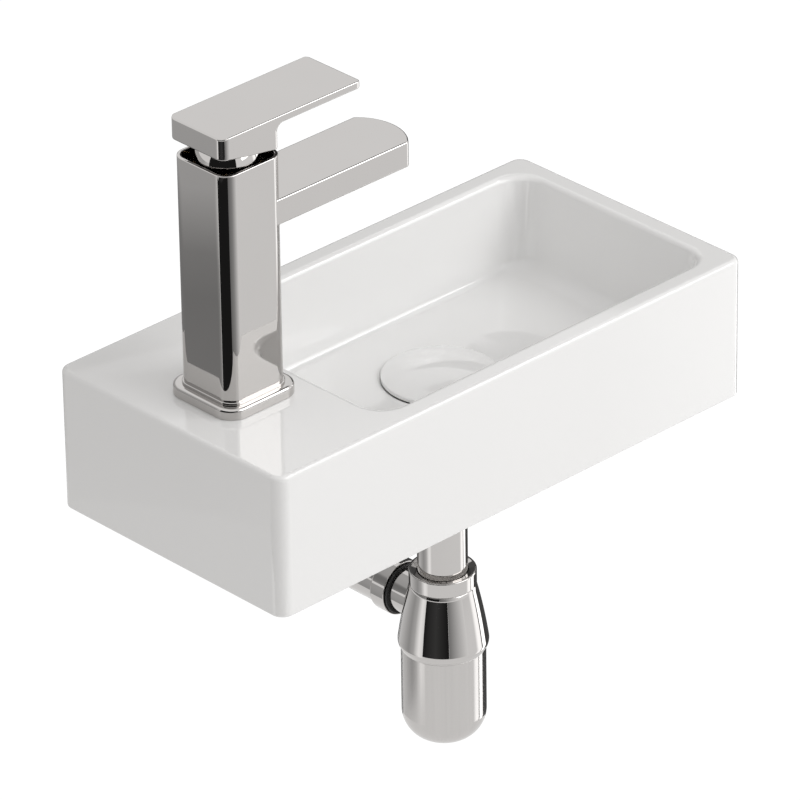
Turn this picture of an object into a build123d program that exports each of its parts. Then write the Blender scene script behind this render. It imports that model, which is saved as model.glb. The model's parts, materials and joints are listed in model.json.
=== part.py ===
from build123d import *
import math
import os

os.makedirs("parts", exist_ok=True)

# Wall-hung hand basin with a lever mixer tap, a push-button waste and a bottle trap.
# Frame: +X to the right seen from the front, +Y into the wall, +Z up.
# The origin is midway between the two wall fixing holes, on the wall face.

# Named clearances
thread_gap = 0.1
running_gap = 0.05
free_gap = 0.3
slip_gap = 0.4
seal_hole_gap = 1.0

# Basin
basin_width = 370.0
basin_depth = 185.0
basin_height = 90.0
basin_corner_radius = 8.0
basin_top_round = 3.0
basin_bottom_round = 1.0
basin_wall = 13.0
deck_thickness = 14.0
fixing_height = 12.0
fixing_spacing = 240.0
fixing_hole_radius = 6.0

# Bowl
tap_deck_width = 91.0
rim_width = 14.0
bowl_depth = 53.5
bowl_draft_x = 15.0
bowl_draft_y = 11.5
bowl_mouth_radius = 19.0
bowl_floor_radius = 16.0
bowl_rim_round = 4.0
bowl_floor_round = 7.0
bowl_floor_thickness = 12.0
bowl_fall = 1.0
bowl_fall_radius = 62.0
bowl_left_wall = 12.0
pocket_corner_radius = 8.0

# Waste
waste_from_left = 213.0
waste_hole_radius = 23.0
waste_recess_radius = 33.5
waste_recess_depth = 4.0
waste_recess_round = 3.0
waste_seat_margin = 2.0
waste_flange_radius = 32.0
waste_flange_thickness = 2.0
waste_flange_fall = 2.2
waste_thread_radius = 20.9
waste_bore_radius = 17.5
waste_length = 68.0
waste_seal_thickness = 1.5
waste_seal_width = 7.0
bottom_seal_thickness = 4.0
bottom_seal_radius = 31.0
back_nut_flats = 54.0
back_nut_height = 10.0
hub_radius = 9.0
hub_height = 10.0
hub_depth = 27.0
spoke_width = 3.0
spoke_count = 3

# Waste cap and its push mechanism
cap_radius = 34.8
cap_band = 1.6
cap_rise = 5.6
cap_edge_round = 0.7
cap_skirt_height = 0.8
cap_plate_radius = 33.0
cap_plate_thickness = 1.0
cap_seal_outer_radius = 27.0
cap_seal_inner_radius = 21.0
push_stem_radius = 4.0
push_stem_length = 39.0
push_sleeve_wall = 2.0
push_sleeve_floor = 1.0
spring_length = 18.0
spring_radius = 3.0
spring_wire_radius = 0.4
spring_turns = 8

# Trap, measured down from the underside of the basin
trap_tube_radius = 15.0
trap_tube_wall = 1.2
tube_flange_thickness = 2.0
inlet_nut_radius = 24.5
inlet_nut_height = 20.0
inlet_nut_lip = 3.5
inlet_seal_thickness = 2.0
collar_drop = 92.0
collar_radius = 20.2
collar_height = 10.0
collar_lip = 2.5
collar_rim = 1.6
collar_slope = 1.0
collar_seal_thickness = 3.0
neck_wall = 2.4
cone_top_radius = 20.0
cone_bottom_radius = 27.1
cone_height = 37.0
cone_bulge = 0.5
skirt_height = 5.5
skirt_waist = 0.25
skirt_overhang = 0.2
bottle_radius = 25.35
bottle_wall = 1.6
bottle_height = 61.8
bottle_bottom_radius = 19.0
bottle_neck_radius = 23.5
bottle_neck_height = 9.8
bottle_seal_thickness = 1.2
dip_depth = 40.0
chamber_top_radius = 18.0
chamber_bottom_radius = 21.6
chamber_roof = 2.0

# Trap outlet
outlet_drop = 18.0
outlet_neck_radius = 14.0
outlet_neck_reach = 30.5
outlet_bore_radius = 10.5
outlet_thread_radius = 16.2
outlet_thread_length = 6.0
outlet_gasket_radius = 16.2
outlet_gasket_thickness = 3.0
outlet_nut_radius = 17.2
outlet_nut_length = 12.0
outlet_nut_round = 1.8
outlet_washer_thickness = 1.5
outlet_tube_past_wall = 40.0
depth_mark_width = 1.0
depth_mark_depth = 0.2
wall_flange_radius = 30.0
wall_flange_depth = 10.0
wall_flange_thickness = 1.5
wall_flange_neck_radius = 18.5
wall_flange_neck_wall = 0.6

# Tap body
tap_from_left = 51.7
tap_hole_radius = 17.5
plinth_width = 55.5
plinth_height = 6.8
plinth_corner_radius = 12.0
plinth_round = 2.0
plinth_bore_radius = 16.5
base_seal_thickness = 2.0
base_seal_width = 5.0
tap_body_width = 45.0
tap_body_height = 143.7
tap_body_corner_radius = 9.0
tap_lip_height = 1.5
tap_lip_width = 1.0
tap_mouth_wall = 2.0
tap_mouth_depth = 16.5
port_radius = 5.0
port_depth = 12.0
port_offset_x = 4.0
port_offset_y = 9.0
channel_radius = 3.5

# Cartridge, counted down from the top of the tap body
cartridge_radius = 17.5
cartridge_height = 34.0
cartridge_well_gap = 1.0
cartridge_nut_radius = 19.3
cartridge_nut_height = 6.0
cartridge_nut_bore = 11.0
cartridge_seal_radius = 5.5
cartridge_seal_wire = 0.9
cartridge_outlet_width = 12.0
cartridge_outlet_height = 8.0

# Ball cover and lever
ball_radius = 19.0
ball_wall = 1.8
ball_below_mouth = 3.5
ball_mouth_radius = 11.5
lever_length = 105.5
lever_width = 44.5
lever_behind = 23.7
lever_rise = 24.0
blade_thickness = 4.5
block_length = 42.2
block_height_back = 13.3
block_height_front = 19.9
blade_root_round = 4.0
lever_edge_round = 0.7
lever_back_corner = 5.5
lever_tip_corner = 3.0
stem_width = 7.0
stem_below_pivot = 10.0
stem_cover = 3.0
rotor_radius = 8.5
rotor_above_pivot = 6.0
rotor_shank_radius = 6.9
rotor_shank_length = 8.0
rotor_slot_margin = 3.0
pivot_pin_radius = 1.5
grub_radius = 2.5
grub_length = 8.0
plug_radius = 3.0
plug_length = 3.0
grub_below_top = 5.5

# Spout and aerator
spout_width = 44.6
spout_thickness = 16.0
spout_below_top = 27.3
spout_reach = 104.3
spout_end_radius = 31.0
spout_edge_round = 1.0
spigot_radius = 8.0
spigot_length = 3.8
waterway_radius = 5.0
aerator_from_tip = 20.0
aerator_radius = 11.0
aerator_height = 7.5
aerator_wall = 2.0
aerator_proud = 1.0
aerator_seal_thickness = 1.8
insert_height = 6.0
insert_hole_radius = 0.8
insert_hole_pitch = 2.6
insert_hole_rows = 5
insert_lip = 1.0

# Fixing of the tap under the deck
stud_radius = 4.0
stud_length = 60.0
stud_grip = 8.0
stud_offset_x = -11.0
horseshoe_radius = 24.0
horseshoe_opening = 30.0
horseshoe_web = 6.0
horseshoe_gasket_thickness = 3.0
horseshoe_washer_thickness = 3.0
fixing_nut_flats = 13.0
fixing_nut_height = 16.0

# Levels and places that follow from the sizes above
underside_z = -fixing_height
rim_z = basin_height - fixing_height
middle_y = -basin_depth / 2
floor_z = rim_z - bowl_depth
seat_z = floor_z - bowl_fall
recess_z = seat_z - waste_recess_depth
floor_underside_z = floor_z - bowl_floor_thickness
deck_underside_z = rim_z - deck_thickness
bowl_left_x = -basin_width / 2 + tap_deck_width
bowl_right_x = basin_width / 2 - rim_width
bowl_width = bowl_right_x - bowl_left_x
bowl_length = basin_depth - 2 * rim_width
bowl_middle_x = (bowl_left_x + bowl_right_x) / 2
waste_x = -basin_width / 2 + waste_from_left
tap_x = -basin_width / 2 + tap_from_left
waste_axis = Axis((waste_x, middle_y, 0), (0, 0, 1))


def waste_level(height):
    """A level plane centred on the axis of the waste and the trap."""
    return Plane((waste_x, middle_y, height))


def waste_section():
    """The upright plane through the waste axis: first radius, then height."""
    return Plane((waste_x, middle_y, 0), x_dir=(1, 0, 0), z_dir=(0, -1, 0))


def tap_level(height):
    """A level plane centred on the axis of the tap."""
    return Plane((tap_x, middle_y, height))


def tap_section():
    """The upright plane through the tap axis: first radius, then height."""
    return Plane((tap_x, middle_y, 0), x_dir=(1, 0, 0), z_dir=(0, -1, 0))


def rings(piece, radius):
    """The round edges of a piece that have this radius."""
    circles = piece.edges().filter_by(GeomType.CIRCLE)
    return circles.filter_by(lambda edge: abs(edge.radius - radius) < 0.01)


def keep(piece, name):
    """Labels a finished piece and writes its file."""
    piece.part.label = name
    export_step(piece.part, f"parts/{name}.step")


# Basin body: a glazed block with the bowl sunk in its top and a hollow underside
pocket_width = basin_width - 2 * basin_wall
pocket_length = basin_depth - 2 * basin_wall
deck_pocket_width = tap_deck_width - basin_wall - bowl_left_wall
deck_pocket_x = -basin_width / 2 + basin_wall + deck_pocket_width / 2
with BuildPart() as basin_body:
    with BuildSketch(Plane((0, middle_y, underside_z))):
        RectangleRounded(basin_width, basin_depth, basin_corner_radius)
    extrude(amount=basin_height)
    fillet(basin_body.edges().group_by(Axis.Z)[-1], radius=basin_top_round)
    fillet(basin_body.edges().group_by(Axis.Z)[0], radius=basin_bottom_round)
    with BuildSketch(Plane((bowl_middle_x, middle_y, rim_z))):
        RectangleRounded(bowl_width, bowl_length, bowl_mouth_radius)
    with BuildSketch(Plane((bowl_middle_x, middle_y, floor_z))):
        RectangleRounded(bowl_width - 2 * bowl_draft_x, bowl_length - 2 * bowl_draft_y, bowl_floor_radius)
    loft(ruled=True, mode=Mode.SUBTRACT)
    floor_face = basin_body.faces().filter_by(GeomType.PLANE).filter_by_position(
        Axis.Z, floor_z - 0.01, floor_z + 0.01
    )
    fillet(floor_face.edges(), radius=bowl_floor_round)
    top_face = basin_body.faces().filter_by(Plane.XY).sort_by(Axis.Z)[-1]
    fillet(top_face.inner_wires().edges(), radius=bowl_rim_round)
    with BuildSketch(waste_section()):
        with BuildLine():
            Polyline(
                (0, floor_z + bowl_fall),
                (bowl_fall_radius, floor_z + bowl_fall),
                (bowl_fall_radius, floor_z),
                (waste_recess_radius + waste_recess_round + waste_seat_margin, seat_z),
                (0, seat_z),
                close=True,
            )
        make_face()
    revolve(axis=waste_axis, mode=Mode.SUBTRACT)
    with BuildSketch(waste_level(recess_z)):
        Circle(waste_recess_radius)
    extrude(amount=waste_recess_depth + bowl_fall, mode=Mode.SUBTRACT)
    fillet(rings(basin_body, waste_recess_radius).sort_by(Axis.Z)[-1], radius=waste_recess_round)
    with BuildSketch(Plane((0, middle_y, underside_z))):
        RectangleRounded(pocket_width, pocket_length, pocket_corner_radius)
    extrude(amount=floor_underside_z - underside_z, mode=Mode.SUBTRACT)
    with BuildSketch(Plane((deck_pocket_x, middle_y, underside_z))):
        RectangleRounded(deck_pocket_width, pocket_length, pocket_corner_radius)
    extrude(amount=deck_underside_z - underside_z, mode=Mode.SUBTRACT)
    with BuildSketch(waste_level(underside_z)):
        Circle(waste_hole_radius)
    extrude(amount=basin_height, mode=Mode.SUBTRACT)
    with BuildSketch(tap_level(deck_underside_z)):
        Circle(tap_hole_radius)
    extrude(amount=deck_thickness, mode=Mode.SUBTRACT)
    with BuildSketch(Plane.XZ):
        with GridLocations(fixing_spacing, 0, 2, 1):
            Circle(fixing_hole_radius)
    extrude(amount=basin_wall, mode=Mode.SUBTRACT)
keep(basin_body, "basin_body")

# Waste body: flange in the bowl, threaded tail below it and a hub on spokes for the push sleeve
flange_bottom_z = recess_z + waste_seal_thickness
flange_top_z = flange_bottom_z + waste_flange_thickness
waste_bottom_z = flange_top_z - waste_length
hub_top_z = flange_top_z - hub_depth
push_sleeve_radius = push_stem_radius + running_gap + push_sleeve_wall
with BuildPart() as waste_body:
    with BuildSketch(waste_section()):
        with BuildLine():
            Polyline(
                (waste_bore_radius, waste_bottom_z),
                (waste_thread_radius, waste_bottom_z),
                (waste_thread_radius, flange_bottom_z),
                (waste_flange_radius, flange_bottom_z),
                (waste_flange_radius, flange_top_z),
                (waste_bore_radius, flange_top_z - waste_flange_fall),
                close=True,
            )
        make_face()
    revolve(axis=waste_axis)
    fillet(waste_body.edges().group_by(Axis.Z)[-1], radius=waste_flange_thickness * 0.3)
    with BuildSketch(waste_level(hub_top_z)):
        Circle(hub_radius)
        with PolarLocations((hub_radius + waste_thread_radius) / 2 - 1, spoke_count):
            Rectangle(waste_thread_radius - hub_radius + 1, spoke_width)
    extrude(amount=-hub_height)
    with BuildSketch(waste_level(hub_top_z)):
        Circle(push_sleeve_radius)
    extrude(amount=-hub_height, mode=Mode.SUBTRACT)
keep(waste_body, "waste_body")

with BuildPart() as waste_top_seal:
    with BuildSketch(waste_level(recess_z)):
        Circle(waste_hole_radius + seal_hole_gap + waste_seal_width)
        Circle(waste_hole_radius + seal_hole_gap, mode=Mode.SUBTRACT)
    extrude(amount=waste_seal_thickness)
keep(waste_top_seal, "waste_top_seal")

bottom_seal_bottom_z = floor_underside_z - bottom_seal_thickness
with BuildPart() as waste_bottom_seal:
    with BuildSketch(waste_level(bottom_seal_bottom_z)):
        Circle(bottom_seal_radius)
        Circle(waste_thread_radius + slip_gap, mode=Mode.SUBTRACT)
    extrude(amount=bottom_seal_thickness)
keep(waste_bottom_seal, "waste_bottom_seal")

back_nut_bottom_z = bottom_seal_bottom_z - back_nut_height
with BuildPart() as waste_back_nut:
    with BuildSketch(waste_level(back_nut_bottom_z)):
        RegularPolygon(back_nut_flats / 2, 6, major_radius=False)
    extrude(amount=back_nut_height)
    with BuildSketch(waste_level(back_nut_bottom_z)):
        Circle(waste_thread_radius + thread_gap)
    extrude(amount=back_nut_height, mode=Mode.SUBTRACT)
    chamfer(waste_back_nut.edges().filter_by(GeomType.CIRCLE), length=0.8)
keep(waste_back_nut, "waste_back_nut")

# Waste cap: a low glazed dome whose skirt hides a bright plate, with a rubber ring that closes on the flange
plate_bottom_z = flange_top_z + free_gap
plate_top_z = plate_bottom_z + cap_plate_thickness
cap_shoulder_z = plate_top_z + cap_band
cap_top_z = cap_shoulder_z + cap_rise
with BuildPart() as waste_cap:
    with BuildSketch(waste_section()):
        with BuildLine():
            Polyline(
                (0, cap_top_z),
                (0, plate_top_z),
                (cap_plate_radius + free_gap, plate_top_z),
                (cap_plate_radius + free_gap, plate_top_z - cap_skirt_height),
                (cap_radius, plate_top_z - cap_skirt_height),
                (cap_radius, cap_shoulder_z),
            )
            RadiusArc(
                (0, cap_top_z),
                (cap_radius, cap_shoulder_z),
                (cap_radius**2 + cap_rise**2) / (2 * cap_rise),
            )
        make_face()
    revolve(axis=waste_axis)
    fillet(rings(waste_cap, cap_radius), radius=cap_edge_round)
keep(waste_cap, "waste_cap")

with BuildPart() as cap_plate:
    with BuildSketch(waste_level(plate_bottom_z)):
        Circle(cap_plate_radius)
    extrude(amount=cap_plate_thickness)
    fillet(cap_plate.edges().group_by(Axis.Z)[0], radius=cap_plate_thickness * 0.4)
keep(cap_plate, "cap_plate")

seal_share = (cap_seal_outer_radius - waste_bore_radius) / (waste_flange_radius - waste_bore_radius)
flange_under_seal_z = flange_top_z - waste_flange_fall * (1 - seal_share)
with BuildPart() as cap_seal:
    with BuildSketch(waste_level(plate_bottom_z)):
        Circle(cap_seal_outer_radius)
        Circle(cap_seal_inner_radius, mode=Mode.SUBTRACT)
    extrude(amount=flange_under_seal_z + free_gap - plate_bottom_z)
keep(cap_seal, "cap_seal")

push_stem_bottom_z = plate_bottom_z - push_stem_length
with BuildPart() as push_stem:
    with BuildSketch(waste_level(push_stem_bottom_z)):
        Circle(push_stem_radius)
    extrude(amount=push_stem_length)
    chamfer(push_stem.edges().group_by(Axis.Z)[0], length=0.5)
keep(push_stem, "push_stem")

spring_top_z = push_stem_bottom_z - free_gap
spring_bottom_z = spring_top_z - spring_length
sleeve_bottom_z = spring_bottom_z - push_sleeve_floor
with BuildPart() as push_sleeve:
    with BuildSketch(waste_level(sleeve_bottom_z)):
        Circle(push_sleeve_radius)
    extrude(amount=hub_top_z - sleeve_bottom_z)
    with BuildSketch(waste_level(hub_top_z)):
        Circle(push_sleeve_radius + push_sleeve_wall / 2)
    extrude(amount=push_sleeve_wall)
    with BuildSketch(waste_level(spring_bottom_z)):
        Circle(push_stem_radius + running_gap)
    extrude(amount=basin_height, mode=Mode.SUBTRACT)
keep(push_sleeve, "push_sleeve")

spring_height = spring_length - 2 * spring_wire_radius - free_gap
spring_start = (waste_x + spring_radius, middle_y, spring_bottom_z + spring_wire_radius + free_gap / 2)
with BuildPart() as push_spring:
    with BuildLine():
        Helix(
            pitch=spring_height / spring_turns,
            height=spring_height,
            radius=spring_radius,
            center=(waste_x, middle_y, spring_start[2]),
        )
    with BuildSketch(Plane(spring_start, x_dir=(1, 0, 0), z_dir=(0, 1, 0))):
        Circle(spring_wire_radius)
    sweep(is_frenet=True)
keep(push_spring, "push_spring")

# Trap inlet: union nut, flat seal and the long tube that dips into the bottle
inlet_seal_bottom_z = waste_bottom_z - inlet_seal_thickness
tube_flange_bottom_z = inlet_seal_bottom_z - tube_flange_thickness
inlet_nut_bottom_z = tube_flange_bottom_z - inlet_nut_lip
inlet_nut_top_z = inlet_nut_bottom_z + inlet_nut_height
with BuildPart() as trap_inlet_nut:
    with BuildSketch(waste_level(inlet_nut_bottom_z)):
        Circle(inlet_nut_radius)
    extrude(amount=inlet_nut_height)
    chamfer(trap_inlet_nut.edges().filter_by(GeomType.CIRCLE), length=1)
    with BuildSketch(waste_level(inlet_nut_bottom_z)):
        Circle(trap_tube_radius + slip_gap)
    extrude(amount=inlet_nut_height, mode=Mode.SUBTRACT)
    with BuildSketch(waste_level(tube_flange_bottom_z)):
        Circle(waste_thread_radius + thread_gap)
    extrude(amount=inlet_nut_height, mode=Mode.SUBTRACT)
keep(trap_inlet_nut, "trap_inlet_nut")

with BuildPart() as trap_inlet_seal:
    with BuildSketch(waste_level(inlet_seal_bottom_z)):
        Circle(waste_thread_radius - slip_gap)
        Circle(trap_tube_radius - trap_tube_wall, mode=Mode.SUBTRACT)
    extrude(amount=inlet_seal_thickness)
keep(trap_inlet_seal, "trap_inlet_seal")

collar_top_z = underside_z - collar_drop
collar_bottom_z = collar_top_z - collar_height
cone_bottom_z = collar_bottom_z - cone_height
skirt_bottom_z = cone_bottom_z - skirt_height
bottle_top_z = skirt_bottom_z - free_gap
bottle_bottom_z = bottle_top_z - bottle_height
tube_bottom_z = bottle_top_z - dip_depth
with BuildPart() as dip_tube:
    with BuildSketch(waste_level(tube_flange_bottom_z)):
        Circle(waste_thread_radius - slip_gap)
    extrude(amount=tube_flange_thickness)
    with BuildSketch(waste_level(tube_bottom_z)):
        Circle(trap_tube_radius)
    extrude(amount=tube_flange_bottom_z - tube_bottom_z)
    with BuildSketch(waste_level(tube_bottom_z)):
        Circle(trap_tube_radius - trap_tube_wall)
    extrude(amount=inlet_seal_bottom_z - tube_bottom_z, mode=Mode.SUBTRACT)
keep(dip_tube, "dip_tube")

# Collar nut and seal that hold the tube at the height wanted
seal_top_z = collar_top_z - collar_lip
neck_top_z = seal_top_z - collar_seal_thickness
neck_radius = trap_tube_radius + slip_gap + neck_wall
with BuildPart() as trap_collar_nut:
    with BuildSketch(waste_section()):
        with BuildLine():
            Polyline(
                (trap_tube_radius + slip_gap, seal_top_z),
                (trap_tube_radius + slip_gap, collar_top_z - collar_slope),
                (collar_radius - collar_rim, collar_top_z),
                (collar_radius, collar_top_z),
                (collar_radius, collar_bottom_z),
                (neck_radius + thread_gap, collar_bottom_z),
                (neck_radius + thread_gap, seal_top_z),
                close=True,
            )
        make_face()
    revolve(axis=waste_axis)
    fillet(rings(trap_collar_nut, collar_radius), radius=0.8)
keep(trap_collar_nut, "trap_collar_nut")

with BuildPart() as trap_collar_seal:
    with BuildSketch(waste_level(neck_top_z)):
        Circle(neck_radius)
        Circle(trap_tube_radius + running_gap, mode=Mode.SUBTRACT)
    extrude(amount=collar_seal_thickness)
keep(trap_collar_seal, "trap_collar_seal")

# Trap body: a hollow cone with a threaded neck above, a skirt for the bottle below and the outlet behind
outlet_z = collar_bottom_z - outlet_drop
shoulder_z = bottle_top_z + bottle_neck_height + bottle_seal_thickness + free_gap
bottle_socket_radius = bottle_neck_radius + free_gap
cone_middle = (
    (cone_top_radius + cone_bottom_radius) / 2 + cone_bulge,
    (collar_bottom_z + cone_bottom_z) / 2,
)
outlet_neck_end_y = middle_y + outlet_neck_reach
outlet_thread_start_y = outlet_neck_end_y + outlet_gasket_thickness
outlet_thread_end_y = outlet_thread_start_y + outlet_thread_length


def outlet_station(distance_y):
    """A plane square to the outlet axis, facing the wall."""
    return Plane((waste_x, distance_y, outlet_z), x_dir=(1, 0, 0), z_dir=(0, 1, 0))


with BuildPart() as trap_body:
    with BuildSketch(waste_section()):
        with BuildLine():
            ThreePointArc(
                (cone_top_radius, collar_bottom_z),
                cone_middle,
                (cone_bottom_radius, cone_bottom_z),
            )
            ThreePointArc(
                (cone_bottom_radius, cone_bottom_z),
                (cone_bottom_radius - skirt_waist, cone_bottom_z - skirt_height * 0.6),
                (bottle_radius + skirt_overhang, skirt_bottom_z),
            )
            Polyline(
                (bottle_radius + skirt_overhang, skirt_bottom_z),
                (0, skirt_bottom_z),
                (0, collar_bottom_z),
                (cone_top_radius, collar_bottom_z),
            )
        make_face()
    revolve(axis=waste_axis)
    with BuildSketch(waste_level(collar_bottom_z)):
        Circle(neck_radius)
    extrude(amount=neck_top_z - collar_bottom_z)
    with BuildSketch(outlet_station(middle_y)):
        Circle(outlet_neck_radius)
    extrude(amount=outlet_thread_end_y - middle_y)
    with BuildSketch(outlet_station(outlet_thread_start_y)):
        Circle(outlet_thread_radius)
    extrude(amount=outlet_thread_length)
    with BuildSketch(outlet_station(middle_y)):
        Circle(outlet_bore_radius)
    extrude(amount=outlet_thread_end_y - middle_y, mode=Mode.SUBTRACT)
    with BuildSketch(waste_section()):
        with BuildLine():
            Polyline(
                (0, neck_top_z),
                (trap_tube_radius + slip_gap, neck_top_z),
                (trap_tube_radius + slip_gap, collar_bottom_z - chamber_roof),
                (chamber_top_radius, collar_bottom_z - chamber_roof),
                (chamber_bottom_radius, shoulder_z),
                (bottle_socket_radius, shoulder_z),
                (bottle_socket_radius, skirt_bottom_z),
                (0, skirt_bottom_z),
                close=True,
            )
        make_face()
    revolve(axis=waste_axis, mode=Mode.SUBTRACT)
keep(trap_body, "trap_body")

# Bottle: the cup that unscrews downwards for cleaning, with its seal on the neck
bottle_neck_top_z = bottle_top_z + bottle_neck_height
bottle_inner_radius = bottle_neck_radius - bottle_wall
with BuildPart() as trap_bottle:
    with BuildSketch(waste_level(bottle_bottom_z)):
        Circle(bottle_radius)
    extrude(amount=bottle_height)
    fillet(trap_bottle.edges().group_by(Axis.Z)[0], radius=bottle_bottom_radius)
    with BuildSketch(waste_level(bottle_top_z)):
        Circle(bottle_neck_radius)
    extrude(amount=bottle_neck_height)
    with BuildSketch(waste_section()):
        with BuildLine():
            well = FilletPolyline(
                (0, bottle_bottom_z + bottle_wall),
                (bottle_inner_radius, bottle_bottom_z + bottle_wall),
                (bottle_inner_radius, bottle_neck_top_z),
                radius=bottle_bottom_radius - bottle_wall,
            )
            Polyline(well @ 1, (0, bottle_neck_top_z), well @ 0)
        make_face()
    revolve(axis=waste_axis, mode=Mode.SUBTRACT)
keep(trap_bottle, "trap_bottle")

with BuildPart() as bottle_seal:
    with BuildSketch(waste_level(bottle_neck_top_z)):
        Circle(bottle_neck_radius)
        Circle(bottle_inner_radius, mode=Mode.SUBTRACT)
    extrude(amount=bottle_seal_thickness)
keep(bottle_seal, "bottle_seal")

# Outlet: black ring, union nut, flat washer, tube with a depth mark at the wall, and its cover flange
with BuildPart() as outlet_gasket:
    with BuildSketch(outlet_station(outlet_neck_end_y)):
        Circle(outlet_gasket_radius)
        Circle(outlet_neck_radius + running_gap, mode=Mode.SUBTRACT)
    extrude(amount=outlet_gasket_thickness)
    fillet(rings(outlet_gasket, outlet_gasket_radius), radius=outlet_gasket_thickness * 0.3)
keep(outlet_gasket, "outlet_gasket")

outlet_flange_start_y = outlet_thread_end_y + outlet_washer_thickness
outlet_flange_end_y = outlet_flange_start_y + tube_flange_thickness
outlet_nut_end_y = outlet_thread_start_y + outlet_nut_length
with BuildPart() as outlet_nut:
    with BuildSketch(outlet_station(outlet_thread_start_y)):
        Circle(outlet_nut_radius)
    extrude(amount=outlet_nut_length)
    fillet(outlet_nut.edges().group_by(Axis.Y)[-1], radius=outlet_nut_round)
    fillet(outlet_nut.edges().group_by(Axis.Y)[0], radius=0.5)
    with BuildSketch(outlet_station(outlet_thread_start_y)):
        Circle(outlet_thread_radius + thread_gap)
    extrude(amount=outlet_flange_end_y - outlet_thread_start_y, mode=Mode.SUBTRACT)
    with BuildSketch(outlet_station(outlet_thread_start_y)):
        Circle(trap_tube_radius + slip_gap)
    extrude(amount=outlet_nut_length, mode=Mode.SUBTRACT)
keep(outlet_nut, "outlet_nut")

with BuildPart() as outlet_washer:
    with BuildSketch(outlet_station(outlet_thread_end_y)):
        Circle(outlet_thread_radius - thread_gap)
        Circle(outlet_bore_radius, mode=Mode.SUBTRACT)
    extrude(amount=outlet_washer_thickness)
keep(outlet_washer, "outlet_washer")

with BuildPart() as outlet_tube:
    with BuildSketch(outlet_station(outlet_flange_start_y)):
        Circle(outlet_thread_radius - thread_gap)
    extrude(amount=tube_flange_thickness)
    with BuildSketch(outlet_station(outlet_flange_start_y)):
        Circle(trap_tube_radius)
    extrude(amount=outlet_tube_past_wall - outlet_flange_start_y)
    with BuildSketch(outlet_station(outlet_flange_start_y)):
        Circle(trap_tube_radius - trap_tube_wall)
    extrude(amount=outlet_tube_past_wall - outlet_flange_start_y, mode=Mode.SUBTRACT)
    with BuildSketch(outlet_station(0)):
        Circle(trap_tube_radius)
        Circle(trap_tube_radius - depth_mark_depth, mode=Mode.SUBTRACT)
    extrude(amount=depth_mark_width, mode=Mode.SUBTRACT)
keep(outlet_tube, "outlet_tube")

wall_flange_inner_radius = trap_tube_radius + slip_gap
with BuildPart() as wall_flange:
    with BuildSketch(Plane((waste_x, 0, outlet_z), x_dir=(1, 0, 0), z_dir=(0, 0, 1))):
        with BuildLine():
            Polyline(
                (wall_flange_inner_radius, -wall_flange_depth),
                (wall_flange_neck_radius, -wall_flange_depth),
                (wall_flange_radius, -wall_flange_thickness),
                (wall_flange_radius, 0),
                (wall_flange_radius - wall_flange_thickness, 0),
                (wall_flange_neck_radius - wall_flange_neck_wall, wall_flange_thickness - wall_flange_depth),
                (wall_flange_inner_radius, wall_flange_thickness - wall_flange_depth),
                close=True,
            )
        make_face()
    revolve(axis=Axis((waste_x, 0, outlet_z), (0, 1, 0)))
keep(wall_flange, "wall_flange")

# Tap base: square plinth on the deck with a rubber ring under it
plinth_top_z = rim_z + plinth_height
base_seal_radius = tap_hole_radius + seal_hole_gap + base_seal_width
with BuildPart() as tap_plinth:
    with BuildSketch(tap_level(rim_z)):
        RectangleRounded(plinth_width, plinth_width, plinth_corner_radius)
    extrude(amount=plinth_height)
    fillet(tap_plinth.edges().group_by(Axis.Z)[-1], radius=plinth_round)
    fillet(tap_plinth.edges().group_by(Axis.Z)[0], radius=0.4)
    with BuildSketch(tap_level(rim_z)):
        Circle(plinth_bore_radius)
    extrude(amount=plinth_height, mode=Mode.SUBTRACT)
    with BuildSketch(tap_level(rim_z)):
        Circle(base_seal_radius)
    extrude(amount=base_seal_thickness, mode=Mode.SUBTRACT)
keep(tap_plinth, "tap_plinth")

with BuildPart() as base_seal:
    with BuildSketch(tap_level(rim_z)):
        Circle(base_seal_radius - thread_gap)
        Circle(tap_hole_radius + seal_hole_gap, mode=Mode.SUBTRACT)
    extrude(amount=base_seal_thickness)
keep(base_seal, "base_seal")

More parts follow.
